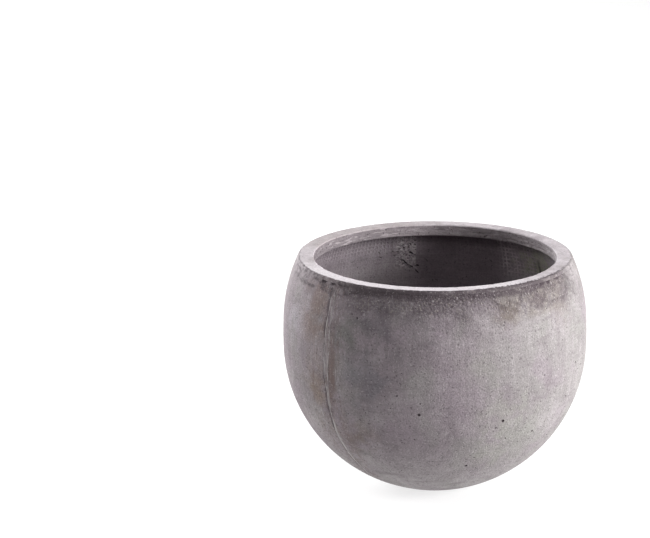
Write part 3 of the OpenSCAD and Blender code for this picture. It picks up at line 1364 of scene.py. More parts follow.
@dataclass(frozen=True)
class Shell:
    """The fine outer coat of concrete, with its seams, air holes and chipped top arris.

    Attributes:
        form: The bowl's form.
        sizes: The layers' sizes.
        top: Height of its upper edge, where the rim's cap lies on it.
    """

    form: BowlForm
    sizes: Sizes
    top: float
    columns: int = 430
    row_step: float = 3.2 * MM
    hidden_step: float = 24 * MM
    # Near the top arris the rows are close, down to this far below it, and its wear fades out.
    close_step: float = 0.7 * MM
    close_depth: float = 5 * MM
    fade_power: float = 1.5
    # Points on the upper edge: how far in from the arris, and their share of its wear.
    edge_rows: tuple[Point, ...] = ((1.6 * MM, 0.15), (0.7 * MM, 0.6), (0.0, 1.0))
    # The rounded corners at the base and at the drain hole, and the rings between them.
    foot: float = 3 * MM
    foot_rise: float = 0.4 * MM
    foot_run: float = 0.8 * MM
    base_rings: tuple[float, ...] = (36 * MM, 28 * MM, 20 * MM)
    drain_bevel: float = 0.6 * MM
    swell: Waves = Waves(60 * MM, 0.35 * MM, 1, 0.0)
    ripple: Waves = Waves(9 * MM, 0.12 * MM, 2)
    chips: Chips = Chips(5 * MM, 1.9 * MM, 0.44, 0.60, 3)
    pits: Pits = Pits(3.2 * MM, 9000.0, 0.30 * MM, 0.85 * MM, 5)
    # They lie in clusters, and crowd on two rough stretches: azimuth and spread in degrees,
    # then the lowest and highest height in millimetres and how far beyond them they end.
    pit_heights: tuple[float, ...] = (12, 268, 2)
    pit_arm: float = 50 * MM
    cluster_size: float = 40 * MM
    cluster_limits: Point = (0.45, 0.70)
    between_clusters: float = 0.06
    rough: tuple[tuple[Point, tuple[float, ...]], ...] = (
        ((30, 62), (240, 268, 18)), ((36, 34), (76, 112, 16)),
    )
    # Azimuth and spread of the stretches of the arris that are chipped more than the rest.
    worn: tuple[Point, ...] = ((-51, 12), (52, 12), (150, 20))
    least_worn: float = 0.25
    seam_step: float = 1.2 * MM
    grooves: tuple[SeamLine, ...] = (SeamLine(64, 268, -0.55),)
    groove_girth: float = 0.45 * MM
    films: tuple[SeamLine, ...] = (SeamLine(22, 269, 0.0), SeamLine(112, 266, 1.7))
    film_girth: float = 0.70 * MM
    rod_sides: int = 6
    # How a line wanders: to the sides in degrees, inwards in millimetres, and in its girth.
    drift: Sway = Sway(0.0, 0.28, 17)
    waver: Sway = Sway(0.0, 0.14, 5.3)
    sunk: Sway = Sway(0.30, 0.22, 7.7)
    fullness: Sway = Sway(0.75, 0.25, 11)
    # Millimetres of height in which a line leans off.
    lean_height: float = 60
    # Air holes large enough to be picked out by eye: azimuth, and height and radius in mm.
    pinholes: tuple[tuple[float, float, float], ...] = (
        (-15.2, 154.2, 1.1), (-7.0, 131.6, 1.9), (-6.5, 145.7, 1.0), (26.7, 118.1, 2.0),
        (14.7, 57.1, 1.9), (-34.7, 244.4, 0.9), (-32.2, 241.0, 1.2), (66.2, 166.4, 1.2),
        (24.1, 109.8, 1.2), (-8.8, 191.8, 0.8), (-27.8, 113.7, 0.9), (43.9, 95.1, 1.2),
        (73.0, 158.2, 1.3), (61.5, 127.9, 1.1), (44.5, 166.7, 1.0), (18.6, 54.0, 1.0),
        (-130.0, 205.0, 1.3), (172.0, 96.0, 1.5), (101.0, 141.0, 1.3), (-98.0, 71.0, 1.4),
        (150.0, 178.0, 1.1),
    )

    def section(self) -> HalfSection:
        """The coat's half section.

        Returns:
            The section, with close rows near its top arris.
        """
        form, top, under, drain = self.form, self.top, self.sizes.face, self.sizes.drain
        section = HalfSection()
        section.run([(drain, under), (form.radius_at(under, under), under)])
        section.run(form.meridian(under, top, self.hidden_step, under)[1:])
        arris = form.radius_at(top)
        section.run([(arris - inward, top) for inward, _ in self.edge_rows],
                    edges=[wear for _, wear in self.edge_rows])
        turn = top - self.close_depth
        close = form.meridian(turn, top, self.close_step)[-2::-1]
        fade = [(1 - i / len(close)) ** self.fade_power for i in range(1, len(close) + 1)]
        section.run(close, wave=1.0, edges=fade)
        section.run(form.meridian(self.foot, turn, self.row_step)[-2::-1], wave=1.0)
        section.run(form.meridian(self.foot_rise, self.foot, self.row_step)[-2::-1], wave=0.5)
        section.run([(r, 0.0) for r in (form.base_radius - self.foot_run, *self.base_rings)])
        section.run([(drain + self.drain_bevel, 0.0), (drain, self.drain_bevel)])
        return section

    def seam_wires(self, name: str, lines: Sequence[SeamLine]) -> bpy.types.Object:
        """Wires along both seams, where the mould's halves let a film of cement through.

        Args:
            name: Name of the wires' mesh.
            lines: The lines along each seam.

        Returns:
            The wires, which carry their girths. They wander a little to the sides, in and out.
        """
        verts: list[Vector] = []
        edges: list[tuple[int, int]] = []
        girth: list[float] = []
        for number, azimuth in enumerate(self.form.seams):
            for line, seam in enumerate(lines):
                rows = self.form.meridian(seam.low * MM, seam.high * MM, self.seam_step)
                edges += [(len(verts) + i, len(verts) + i + 1) for i in range(len(rows) - 1)]
                for _, height in rows:
                    rise = height / MM
                    here = azimuth + self.drift.at(rise, line + 2 * number)
                    here += self.waver.at(rise, 3 * line)
                    here += seam.aside * min(1.0, (rise - seam.low) / self.lean_height)
                    sunk = self.sunk.at(rise, 2 * line + number) * MM
                    verts.append(self.form.place(here, height)
                                 - self.form.outward(here, height) * sunk)
                    girth.append(self.fullness.at(rise, 5 * line + number))
        return mesh_object(name, verts, edges, girth=girth)

    def holes(self) -> bpy.types.Object:
        """Bare points where the larger air holes lie, which carry their radii."""
        spots = [self.form.place(azimuth, height * MM) for azimuth, height, _ in self.pinholes]
        return mesh_object("large air holes", spots, girth=[r * MM for _, _, r in self.pinholes])

    def build(self, material: bpy.types.Material) -> bpy.types.Object:
        """Makes the coat.

        Args:
            material: Its finish.

        Returns:
            The finished piece.
        """
        recipe = Recipe("cast shell")
        coat = recipe.wavy(recipe.revolve(self.columns, self.form.belly_radius),
                           self.swell, self.ripple)
        worn = recipe.highest(self.least_worn, *(recipe.facing(*place) for place in self.worn))
        lost, depth = recipe.chipped(self.chips, worn, recipe.share("edge"))
        coat = recipe.add("GeometryNodeStoreNamedAttribute",
                          {"Geometry": coat, "Name": "chip", "Value": lost})
        coat = recipe.sink(coat, depth)
        girth = recipe.share("girth")
        grooves = self.seam_wires("seam groove", self.grooves)
        films = self.seam_wires("seam flash", self.films)
        for wires, size, label, cut in ((grooves, self.groove_girth, "hollow", Cut.CARVE),
                                        (films, self.film_girth, "film", Cut.JOIN)):
            rods = recipe.rods(recipe.read(wires.name, wires), self.rod_sides,
                               recipe.size(label, size), Scale=girth)
            coat = recipe.combine(coat, rods, label, cut)
        holes = self.holes()
        coat = recipe.bore(coat, recipe.read("Large Air Holes", holes), girth, sides=12, rings=8)
        coat = recipe.pit(coat, self.pitted(recipe), self.pits)
        section = self.section().carrier("shell section", self.form.belly_radius)
        return recipe.run(recipe.crisp(coat), material, section, "outer_coat",
                          grooves, films, holes)

    def pitted(self, recipe: Recipe) -> Socket:
        """How thick the small air holes are: in clusters, and on two rough stretches.

        Args:
            recipe: The tree that it joins.

        Returns:
            Their share of the full density.
        """
        lumps = recipe.lumps("Cluster Size", self.cluster_size, seed=4, detail=1.0)
        few, many = self.cluster_limits
        clusters = recipe.add("ShaderNodeMapRange",
                              {"Value": lumps, "From Min": few, "From Max": many,
                               "To Min": self.between_clusters})
        rough = [recipe.times(recipe.facing(*side), recipe.between(*rise))
                 for side, rise in self.rough]
        # Only faces that look well away from the bowl's middle have any.
        place, middle = recipe.add("GeometryNodeInputPosition"), (0, 0, self.form.belly_height)
        arm = recipe.add("ShaderNodeVectorMath", {0: place, 1: middle}, operation="SUBTRACT")
        normal = recipe.add("GeometryNodeInputNormal")
        along = recipe.add("ShaderNodeVectorMath", {0: arm, 1: normal}, out="Value",
                           operation="DOT_PRODUCT")
        outside = recipe.add("ShaderNodeMath", {0: along, 1: self.pit_arm},
                             operation="GREATER_THAN")
        return recipe.times(recipe.highest(clusters, *rough),
                            recipe.between(*self.pit_heights), outside)


@dataclass(frozen=True)
class RimRing:
    """The rim: a ring of stiff mix, trowelled flat, that thickens inwards into the lip.

    Attributes:
        form: The bowl's form.
        sizes: The layers' sizes.
        seat: Height of the underside of its cap.
        lip_foot: Height of the lip's lower edge.
    """

    form: BowlForm
    sizes: Sizes
    seat: float
    lip_foot: float
    columns: int = 600
    edge_radius: float = 2.5 * MM
    edge_step: float = 0.7 * MM
    edge_wear: tuple[float, ...] = (0.0, 0.3, 0.8, 1.0, 0.8, 0.5, 0.3)
    # The lip's rounded arris, and the same at its lower edge.
    arris: float = 1.6 * MM
    arris_round: float = 0.3
    lip_bevel: float = 0.7 * MM
    lip_height: float = 11.5 * MM
    seat_run: float = 4 * MM
    swell: Waves = Waves(45 * MM, 0.35 * MM, 11, 0.0)
    ripple: Waves = Waves(6 * MM, 0.22 * MM, 12)
    chips: Chips = Chips(7 * MM, 0.7 * MM, 0.5, 0.68, 13)
    pits: Pits = Pits(3.0 * MM, 26000.0, 0.35 * MM, 1.15 * MM, 15)
    # They lie in the upright face of the lip: the heights in millimetres, and its depth.
    pit_heights: tuple[float, ...] = (265, 274, 1)
    pit_depth: float = 0.4 * MM

    def edge_arc(self) -> list[Point]:
        """The rounded outer edge.

        Returns:
            Its points, from the shoulder up to the flat top.
        """
        shoulder, r = self.form.shoulder, self.edge_radius
        z = self.form.height - r
        x = shoulder.x + math.sqrt((shoulder.radius - r) ** 2 - (z - shoulder.z) ** 2)
        lean = math.atan2(z - shoulder.z, x - shoulder.x)
        return bend(x, z, r, steps(lean, math.pi / 2, len(self.edge_wear) - 1))

    def section(self) -> HalfSection:
        """The ring's half section.

        Returns:
            The section, with worn edges on both sides of its flat top.
        """
        form, top, mouth, wall = self.form, self.form.height, self.sizes.mouth, self.sizes.wall
        lip, rounded = self.lip_foot + self.lip_bevel, self.arris_round * self.arris
        edge = self.edge_arc()
        section = HalfSection()
        section.run([(mouth + self.lip_bevel, self.lip_foot)], wave=0.3)
        section.run([(mouth, z) for z in steps(lip, lip + self.lip_height, count=10)], wave=1.0)
        section.run([(mouth, top - self.arris)], wave=0.6, edges=[0.5])
        section.run([(mouth + rounded, top - rounded)], wave=0.5, edges=[1.0])
        section.run([(mouth + self.arris, top)], wave=0.5, edges=[0.5])
        flat = steps(mouth + self.arris, edge[-1][0], count=9)[1:-1]
        section.run([(r, top) for r in flat], wave=0.6)
        section.run(reversed(edge), wave=0.6, edges=self.edge_wear)
        section.run(form.meridian(self.seat, edge[0][1], self.edge_step)[-2::-1], wave=0.4,
                    edges=[0.1] * 3)
        section.run([(form.radius_at(self.seat) - self.seat_run, self.seat),
                     (form.radius_at(self.seat, wall), self.seat),
                     (form.radius_at(self.lip_foot, wall), self.lip_foot)])
        return section

    def build(self, material: bpy.types.Material) -> bpy.types.Object:
        """Makes the rim.

        Args:
            material: Its finish.

        Returns:
            The finished piece.
        """
        recipe, mouth = Recipe("trowelled rim"), self.sizes.mouth
        ring = recipe.wavy(recipe.revolve(self.columns, mouth), self.swell, self.ripple)
        ring = recipe.sink(ring, recipe.chipped(self.chips, recipe.share("edge"))[1])
        radius = recipe.radius(recipe.add("GeometryNodeInputPosition"))
        inner = recipe.add("ShaderNodeMath", {0: radius, 1: mouth + self.pit_depth},
                           operation="LESS_THAN")
        share = recipe.times(inner, recipe.between(*self.pit_heights))
        ring = recipe.pit(ring, share, self.pits)
        section = self.section().carrier("rim section", mouth)
        return recipe.run(recipe.crisp(ring), material, section, "rim")


@dataclass(frozen=True)
class Flake:
    """A slim flake that stands up on the inner wall, or the hollow that one has left.

    Attributes:
        azimuth: Where its middle is, in degrees.
        height: Height of its middle, in millimetres.
        length: How long it is, in millimetres.
        girth: How wide it is, in millimetres.
        slope: How steeply it falls to the right, in degrees, seen from inside.
    """

    azimuth: float
    height: float
    length: float
    girth: float
    slope: float


@dataclass(frozen=True)
class Lining:
    """The inside of the bowl: a brushed skim, with a patch where it has flaked off.

    Attributes:
        form: The bowl's form.
        sizes: The layers' sizes.
        underside: Height of its underside.
        top: Height of its upper edge.
    """

    form: BowlForm
    sizes: Sizes
    underside: float
    top: float
    columns: int = 500
    # The round between the floor and the wall.
    corner: float = 6 * MM
    drain_bevel: float = 0.5 * MM
    drain_land: float = 1 * MM
    row_step: float = 2.6 * MM
    hidden_step: float = 16 * MM
    shown_top: float = 264.5 * MM
    swell: Waves = Waves(50 * MM, -0.4 * MM, 21, 0.0)
    ripple: Waves = Waves(9 * MM, -0.3 * MM, 22)
    flake_depth: float = 0.45 * MM
    length_spread: Point = (0.8, 1.1)
    girth_spread: Point = (0.6, 1.1)
    ridge_seed: int = 3
    ridges: tuple[Flake, ...] = (
        Flake(-168.8, 241.0, 9, 1.2, 40), Flake(-170.9, 244.0, 8, 1.0, 40),
        Flake(-171.7, 230.0, 9, 1.3, 50), Flake(-169.3, 229.3, 12, 1.2, 45),
        Flake(-172.5, 224.6, 6, 1.2, 70), Flake(-172.4, 240.5, 8, 1.1, 60),
        Flake(-167.0, 235.5, 9, 1.0, 40), Flake(-170.6, 222.9, 6, 1.0, 30),
        Flake(-173.4, 216.5, 6, 1.0, 50), Flake(-164.2, 247.0, 7, 1.1, 80),
    )
    hollow_seed: int = 8
    hollows: tuple[Flake, ...] = (
        Flake(-170.9, 237.2, 8, 2.8, 30), Flake(-173.9, 220.3, 5, 2.8, 30),
        Flake(-167.6, 244.6, 6, 1.6, 35), Flake(-168.4, 225.6, 13, 1.6, 45),
        Flake(-171.3, 219.0, 7, 1.7, 25), Flake(-173.6, 212.6, 8, 1.7, 45),
        Flake(-170.4, 248.9, 5, 1.4, 50), Flake(-172.4, 248.0, 4, 1.3, 50),
        Flake(-177.4, 227.5, 9, 1.0, 45), Flake(-170.2, 233.4, 4, 1.4, 30),
        Flake(-157.6, 233.5, 4, 1.5, 20), Flake(-156.6, 240.5, 4, 1.5, 60),
        Flake(-162.8, 240.5, 4, 1.4, 10), Flake(-165.2, 239.6, 5, 1.3, 15),
    )

    def section(self) -> HalfSection:
        """The skim's half section.

        Returns:
            The section, with a small round between the floor and the wall.
        """
        form, floor, wall, drain = self.form, self.sizes.floor, self.sizes.wall, self.sizes.drain
        z = floor + self.corner
        x = math.sqrt((form.ball_radius - wall - self.corner) ** 2 - (form.belly_height - z) ** 2)
        fall = math.atan2(form.belly_height - z, x)
        arc = bend(x, z, self.corner, steps(-math.pi / 2, -fall, count=5))
        section = HalfSection()
        section.run([(drain, floor - self.drain_bevel), (drain + self.drain_bevel, floor)])
        flat = steps(drain + self.drain_land, x, count=12)[:-1]
        section.run([(r, floor) for r in flat], wave=0.5)
        section.run(arc, wave=0.6)
        section.run(form.meridian(arc[-1][1], self.shown_top, self.row_step, wall)[1:], wave=1.0)
        section.run([(form.radius_at(self.top, inset), self.top)
                     for inset in (wall, self.sizes.skim)])
        section.run(form.meridian(self.underside, self.top, self.hidden_step,
                                  self.sizes.skim)[-2::-1])
        section.run([(drain, self.underside)])
        return section

    def shards(self, flakes: Iterable[Flake], seed: int) -> bpy.types.Object:
        """Slim closed shards that lie half in the inner face.

        Args:
            flakes: Where they lie and their sizes.
            seed: Seed for the unevenness of their outlines.

        Returns:
            One mesh of all the shards.
        """
        draw = random.Random(seed)
        verts: list[Vector] = []
        faces: list[tuple[int, ...]] = []
        for flake in flakes:
            height, half, thick = flake.height * MM, flake.length / 2 * MM, flake.girth / 2 * MM
            out = self.form.outward(flake.azimuth, height)
            right = out.cross(Vector((0, 0, 1))).normalized()
            turn = math.radians(flake.slope)
            along = right * math.cos(turn) + out.cross(right) * math.sin(turn)
            across = out.cross(along)
            centre = self.form.place(flake.azimuth, height, self.sizes.wall)
            outline = [(-half, 0), (-half / 2, -thick), (half / 2, -thick), (half, 0),
                       (half / 2, thick), (-half / 2, thick)]
            start, count = len(verts), len(outline)
            ring = [(a * draw.uniform(*self.length_spread), b * draw.uniform(*self.girth_spread))
                    for a, b in outline]
            for level in (-self.flake_depth, self.flake_depth):
                verts += [centre + along * a + across * b + out * level for a, b in ring]
            lower = list(range(start, start + count))
            upper = [i + count for i in lower]
            faces += [tuple(reversed(lower)), tuple(upper)]
            faces += [(lower[i - 1], lower[i], upper[i], upper[i - 1]) for i in range(count)]
        return mesh_object("skim shards", verts, faces=faces)

    def build(self, material: bpy.types.Material) -> bpy.types.Object:
        """Makes the lining.

        Args:
            material: Its finish.

        Returns:
            The finished piece.
        """
        recipe, belly = Recipe("brushed lining"), self.form.belly_radius
        skim = recipe.wavy(recipe.revolve(self.columns, belly), self.swell, self.ripple)
        raised = self.shards(self.ridges, self.ridge_seed)
        sunk = self.shards(self.hollows, self.hollow_seed)
        skim = recipe.combine(skim, recipe.read("flake", raised), "flake", Cut.JOIN)
        skim = recipe.combine(skim, recipe.read("loss", sunk), "loss", Cut.CARVE)
        section = self.section().carrier("skim section", belly)
        return recipe.run(recipe.crisp(skim), material, section, "inner_skim", raised, sunk)


@dataclass(frozen=True)
class GlassNet:
    """Woven glass net, bedded in the wall: strips round the wall and a dish in the floor.

    Attributes:
        form: The bowl's form.
        sizes: The layers' sizes.
        low: Height of the strips' lower edges.
        high: Height of their upper edges.
        dish_z: Height of the dish's middle over the flat base.
    """

    form: BowlForm
    sizes: Sizes
    low: float
    high: float
    dish_z: float
    pitch: float = 5 * MM
    yarn: float = 0.27 * MM
    yarn_sides: int = 4
    lift: float = 0.2 * MM

    def weave(
        self, name: str, spots: dict[tuple[int, int], tuple[Vector, Vector]],
        material: bpy.types.Material,
    ) -> bpy.types.Object:
        """Lays yarns over and under each other through the net's crossings.

        Args:
            name: Name of the finished piece.
            spots: For each crossing, by column and row, its place and the outward direction.
            material: The piece's finish.

        Returns:
            The finished piece.
        """
        order = {key: i for i, key in enumerate(spots)}
        edges, along = [], []
        for (column, row), i in order.items():
            for neighbour, way in (((column, row + 1), 1.0), ((column + 1, row), 0.0)):
                if neighbour in order:
                    edges.append((i, order[neighbour]))
                    along.append(way)
        over = [1.0 if (column + row) % 2 else -1.0 for column, row in order]
        grid = mesh_object("net grid", [place for place, _ in spots.values()], edges, over=over)
        ways = grid.data.attributes.new("along", "FLOAT", "EDGE")
        ways.data.foreach_set("value", along)
        outward = grid.data.attributes.new("outward", "FLOAT_VECTOR", "POINT")
        outward.data.foreach_set("vector", [c for _, out in spots.values() for c in out])

        recipe = Recipe("woven net")
        yarns = []
        # At each crossing the yarns of one way pass over and those of the other way under.
        for way, sign in ((1.0, 1.0), (0.0, -1.0)):
            is_way = recipe.add("FunctionNodeCompare",
                                {0: recipe.share("along"), 1: way, "Epsilon": 0.1},
                                operation="EQUAL")
            wires = recipe.add("GeometryNodeSeparateGeometry",
                               {"Geometry": recipe.start.outputs[0], "Selection": is_way},
                               domain="EDGE")
            level = recipe.times(recipe.share("over"), sign, recipe.size("Lift", self.lift))
            off = recipe.add("ShaderNodeVectorMath",
                             {0: recipe.share("outward", "FLOAT_VECTOR"), "Scale": level},
                             operation="SCALE")
            moved = recipe.add("GeometryNodeSetPosition", {"Geometry": wires, "Offset": off})
            yarns.append(recipe.rods(moved, self.yarn_sides, recipe.size("Yarn", self.yarn)))
        net = recipe.add("GeometryNodeSetShadeSmooth",
                         {"Geometry": recipe.add("GeometryNodeJoinGeometry", {0: yarns}),
                          "Shade Smooth": True})
        return recipe.run(net, material, grid, name)

    def wall(self, material: bpy.types.Material) -> bpy.types.Object:
        """Makes the strips round the wall, each cut to fit between its neighbours.

        Args:
            material: Their finish.

        Returns:
            The finished piece, of all the strips.
        """
        form, depth, strips = self.form, self.sizes.net, self.sizes.strips
        rows = form.meridian(self.low + self.yarn, self.high - self.yarn, self.pitch, depth)
        widest = form.radius_at(form.belly_height, depth)
        half_turn = math.pi / strips - self.sizes.strip_gap / 2 / widest
        reach = math.floor(widest * half_turn / self.pitch)
        # Strips are this many columns apart, so that no column joins two of them.
        apart = 2 * reach + 3
        spots: dict[tuple[int, int], tuple[Vector, Vector]] = {}
        for strip in range(strips):
            for row, (radius, height) in enumerate(rows):
                for column in range(-reach, reach + 1):
                    turn = column * self.pitch / radius
                    if abs(turn) < half_turn - self.yarn / radius:
                        azimuth = 360 / strips * (strip + 0.5) + math.degrees(turn)
                        spots[(column + strip * apart, row)] = (
                            form.place(azimuth, height, depth), form.outward(azimuth, height))
        return self.weave("wall_glass_net", spots, material)

    def dish(self, material: bpy.types.Material) -> bpy.types.Object:
        """Makes the dish in the floor, pressed from one square-woven piece.

        Args:
            material: Its finish.

        Returns:
            The finished piece.
        """
        ball, belly = self.form.ball_radius - self.sizes.net, self.form.belly_height
        top = self.low - self.sizes.strip_gap - self.yarn
        reach = math.ceil(ball / self.pitch)
        spots: dict[tuple[int, int], tuple[Vector, Vector]] = {}
        for column in range(-reach, reach + 1):
            for row in range(-reach, reach + 1):
                x, y = (column + 0.5) * self.pitch, (row + 0.5) * self.pitch
                level = math.hypot(x, y)
                if not self.sizes.dish_hole + self.yarn < level < ball:
                    continue
                side = belly - math.sqrt(ball**2 - level**2)
                height = max(side, self.dish_z)
                if height > top:
                    continue
                flat = side < self.dish_z
                out = Vector((0, 0, -1)) if flat else Vector((x, y, height - belly))
                spots[(column, row)] = (Vector((x, y, height)), out.normalized())
        return self.weave("floor_glass_net", spots, material)


@dataclass(frozen=True)
class DrainPlug:
    """The rubber plug: a stem in the drain hole, a flange on the floor and a waisted grip.

    Attributes:
        sizes: The sizes of the bowl that it fits.
        low: Height of its lower end.
        high: Height of its upper end.
        flange_radius: Radius of its flange.
    """

    sizes: Sizes
    low: float
    high: float
    flange_radius: float
    columns: int = 128
    grip_radius: float = 6.5 * MM
    waist: float = 1.5 * MM
    knob: float = 2 * MM
    knob_gap: float = 0.4 * MM
    # The hollow round between the grip and the flange, and where its points lie, in radians.
    blend: float = 1.6 * MM
    blend_turns: tuple[float, ...] = (0.4, 0.8, 1.2, math.pi / 2)
    flange: float = 3 * MM
    chamfer: float = 1.2 * MM
    # The ring groove in the flange: how far in it is, its depth and its half width.
    groove_in: float = 3.4 * MM
    groove_depth: float = 0.45 * MM
    groove_floor: float = 0.4 * MM
    groove_mouth: float = 0.9 * MM
    # The grooves in the stem: how far below the floor they are, and one's points.
    stem_grooves: tuple[float, ...] = (3.2 * MM, 6.4 * MM)
    stem_groove: tuple[Point, ...] = (
        (0.0, 0.5 * MM), (-0.5 * MM, 0.0), (-0.5 * MM, -0.6 * MM), (0.0, -1.1 * MM),
    )
    softness: Waves = Waves(8 * MM, 0.12 * MM, 41, 0.0)

    def section(self) -> HalfSection:
        """The plug's half section.

        Returns:
            The section, with a ring groove on its flange and two on its stem.
        """
        stem, floor, wide, knob = self.sizes.stem, self.sizes.floor, self.flange_radius, self.knob
        top, edge, groove = floor + self.flange, self.flange / 2, wide - self.groove_in
        neck, turns = self.grip_radius - self.waist, steps(math.pi / 2, -math.pi / 2, count=10)
        section = HalfSection()
        section.run([(0.0, self.high)])
        # The knob's round ends a little before it meets the waist.
        section.run(bend(self.grip_radius - knob, self.high - knob, knob, turns[:-2]), wave=1.0)
        section.run([(neck, self.high - 2 * knob - self.knob_gap), (neck, top + self.blend)],
                    wave=1.0)
        section.run([(neck + self.blend * (1 - math.cos(t)), top + self.blend * (1 - math.sin(t)))
                     for t in self.blend_turns], wave=1.0)
        section.run([(groove - self.groove_mouth, top),
                     (groove - self.groove_floor, top - self.groove_depth),
                     (groove + self.groove_floor, top - self.groove_depth),
                     (groove + self.groove_mouth, top)], wave=1.0)
        section.run(bend(wide - edge, floor + edge, edge, turns), wave=1.0)
        section.run([(stem, floor)])
        section.run([(stem + x, floor - below + z)
                     for below in self.stem_grooves for x, z in self.stem_groove])
        section.run([(stem, self.low + self.chamfer), (stem - self.chamfer, self.low),
                     (0.0, self.low)])
        return section

    def build(self, material: bpy.types.Material) -> bpy.types.Object:
        """Makes the plug.

        Args:
            material: Its finish.

        Returns:
            The finished piece.
        """
        recipe = Recipe("moulded plug")
        plug = recipe.wavy(recipe.revolve(self.columns, self.flange_radius), self.softness)
        section = self.section().carrier("plug section", self.flange_radius)
        return recipe.run(recipe.crisp(plug), material, section, "rubber_plug")


# ---------------------------------------------------------------------------- studio


@dataclass(frozen=True)
class SoftBox:
    """A soft lamp that isn't itself seen.

    Attributes:
        name: Its name.
        azimuth: Where it stands round the bowl, in degrees.
        rise: How high it stands above the level of its aim, in degrees.
        power: Its power in watts.
        distance: How far it is from its aim.
        width: Its width.
        tall: Its height.
        aim_height: Height of the point on the bowl's axis that it faces.
    """

    name: str
    azimuth: float
    rise: float
    power: float
    distance: float = 2.8
    width: float = 1.2
    tall: float = 1.0
    aim_height: float = 0.16

    def build(self) -> None:
        """Makes the lamp and turns it to its aim."""
        lamp = bpy.data.lights.new(self.name, "AREA")
        lamp.shape, lamp.size, lamp.size_y = "RECTANGLE", self.width, self.tall
        lamp.energy = self.power
        holder = new_object(self.name, lamp)
        turn = math.radians(self.rise)
        arm = direction(self.azimuth) * math.cos(turn) + Vector((0, 0, math.sin(turn)))
        holder.location = arm * self.distance + Vector((0, 0, self.aim_height))
        holder.rotation_euler = (-arm).to_track_quat("-Z", "Y").to_euler()
        holder.visible_camera = False


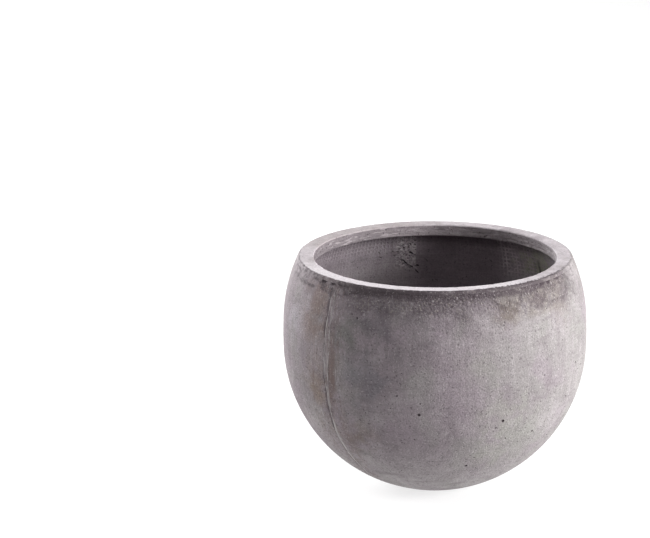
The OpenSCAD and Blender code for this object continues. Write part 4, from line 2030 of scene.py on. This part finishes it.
@dataclass(frozen=True)
class Studio:
    """A pale table lit from below, soft lamps and the camera of the photograph."""

    lamps: tuple[SoftBox, ...] = (
        SoftBox("key", 70, 14, 95),
        SoftBox("right side", 90, 14, 63),
        SoftBox("left edge", -120, 14, 60),
        SoftBox("back left", -150, 14, 90),
        SoftBox("overhead", 0, 89, 18, distance=2.4),
        SoftBox("front fill", -20, 45, 8),
    )
    table_glow: float = 0.72
    table_colour: str = "#9a9a9a"
    table_reach: float = 5.0
    table_sides: int = 96
    table_drop: float = 0.2 * MM
    white: str = "#ffffff"
    # The light of the air: low above, full along the horizon, and between them from below.
    ambient: float = 0.02
    horizon: float = 1.0
    from_below: float = 0.75
    # The sines of the rise where the horizon's light begins to fade and where it has faded.
    fade_start: float = 0.10
    fade_end: float = 0.16
    below_horizon: float = -0.01
    # The camera was fitted to the photograph: how far it is from a point on the bowl's axis,
    # how far that point is right of and below the picture's middle, and its pitch.
    aim_height: float = 174.3 * MM
    pitch: float = 15.05
    distance: float = 6.524
    aim_right: float = 130.1 * MM
    aim_below: float = 82.75 * MM
    focal: float = 304.6
    sensor: float = 36.0
    clip_end: float = 100.0

    def camera(self) -> None:
        """Makes the camera and puts it in charge."""
        turn = math.radians(self.pitch)
        ahead = Vector((0, math.cos(turn), -math.sin(turn)))
        right = Vector((1, 0, 0))
        below = Vector((0, -math.sin(turn), -math.cos(turn)))
        aim = Vector((0, 0, self.aim_height))
        place = aim - ahead * self.distance - right * self.aim_right - below * self.aim_below
        lens = bpy.data.cameras.new("camera")
        lens.sensor_fit, lens.sensor_width, lens.lens = "HORIZONTAL", self.sensor, self.focal
        lens.clip_end = self.clip_end
        holder = new_object("camera", lens)
        axes = Matrix((right, -below, -ahead)).transposed()
        holder.matrix_world = Matrix.Translation(place) @ axes.to_4x4()
        bpy.context.scene.camera = holder

    def table(self) -> bpy.types.Object:
        """Makes the pale table.

        Returns:
            The table's object.
        """
        surface = Surface("opal light table")
        # A frosted acrylic sheet lit from below: almost white, with hardly a shadow on it.
        sheen = surface.mottle(400, 0.2, 0.8, 99)
        material = surface.close(linear(self.table_colour), (sheen, 0.85, 0.95),
                                 Specular_IOR_Level=0.2, Emission_Color=linear(self.white),
                                 Emission_Strength=self.table_glow)
        ring = [direction(360 * i / self.table_sides) * self.table_reach
                - Vector((0, 0, self.table_drop)) for i in range(self.table_sides)]
        table = mesh_object("table", ring, faces=[tuple(range(self.table_sides))])
        table.data.materials.append(material)
        # The glow is for the picture's background. What it sheds on the bowl comes from below.
        table.visible_diffuse = table.visible_shadow = False
        return table

    def world(self) -> None:
        """Makes the air round the bowl: dim above, white along the horizon, soft from below."""
        world = bpy.data.worlds.new("studio")
        world.use_nodes = True
        air = Tree(world.node_tree)
        way = air.add("ShaderNodeTexCoord", out="Generated")
        rise = air.add("ShaderNodeSeparateXYZ", {0: way}, out="Z")
        above = air.add("ShaderNodeMapRange",
                        {"Value": rise, "From Min": self.fade_start, "From Max": self.fade_end,
                         "To Min": self.horizon, "To Max": self.ambient})
        below = air.add("ShaderNodeMath", {0: rise, 1: self.below_horizon}, operation="LESS_THAN")
        glow = air.add("ShaderNodeMix", {0: below, 2: above, 3: self.from_below})
        light = air.add("ShaderNodeBackground", {"Color": linear(self.white), "Strength": glow})
        air.add("ShaderNodeOutputWorld", {"Surface": light})
        bpy.context.scene.world = world

    def build(self) -> None:
        """Makes the camera, the table, the lamps and the world."""
        self.camera()
        self.table()
        for lamp in self.lamps:
            lamp.build()
        self.world()
        bpy.context.scene.view_settings.view_transform = "Standard"


def main() -> None:
    """Builds the studio and the bowl's pieces in order, and reports each one."""
    logging.basicConfig(level=logging.INFO, format="%(message)s")
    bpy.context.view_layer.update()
    Studio().build()
    log.info("studio ready")

    sizes = Sizes()
    coat_high, (rim_low, rim_high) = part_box("face_coat")[1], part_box("rim_ring")
    form = BowlForm(belly_radius=coat_high.x, height=rim_high.z)

    cast = MouldedConcrete(form)
    shell = Shell(form, sizes, coat_high.z)
    settle(shell.build(cast.material()), "bowl", "face_coat")

    rubbed = RubbedConcrete(form, sizes.mouth, cast)
    rim = RimRing(form, sizes, coat_high.z, rim_low.z)
    settle(rim.build(rubbed.material()), "bowl", "rim_ring")

    slurry = BrushedSlurry(form, sizes.wall)
    lining = Lining(form, sizes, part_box("skim_coat")[0].z, coat_high.z)
    settle(lining.build(slurry.material()), "bowl", "skim_coat")

    yarn = GlassYarn().material()
    net_low, net_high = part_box("wall_net")
    dish_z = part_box("base_net")[0].z + sizes.net_half
    net = GlassNet(form, sizes, net_low.z, net_high.z, dish_z)
    settle(net.wall(yarn), "bowl", "wall_net")
    settle(net.dish(yarn), "bowl", "base_net")

    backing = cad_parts["backing_coat"]
    backing.data.materials.clear()
    backing.data.materials.append(FibreConcrete().material())
    log.info("backing_coat: carried over, finish %s", backing.data.materials[0].name)

    plug_low, plug_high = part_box("drain_plug")
    plug = DrainPlug(sizes, plug_low.z, plug_high.z, plug_high.x)
    settle(plug.build(MouldedRubber().material()), "plug", "drain_plug")


if __name__ == "__main__":
    main()
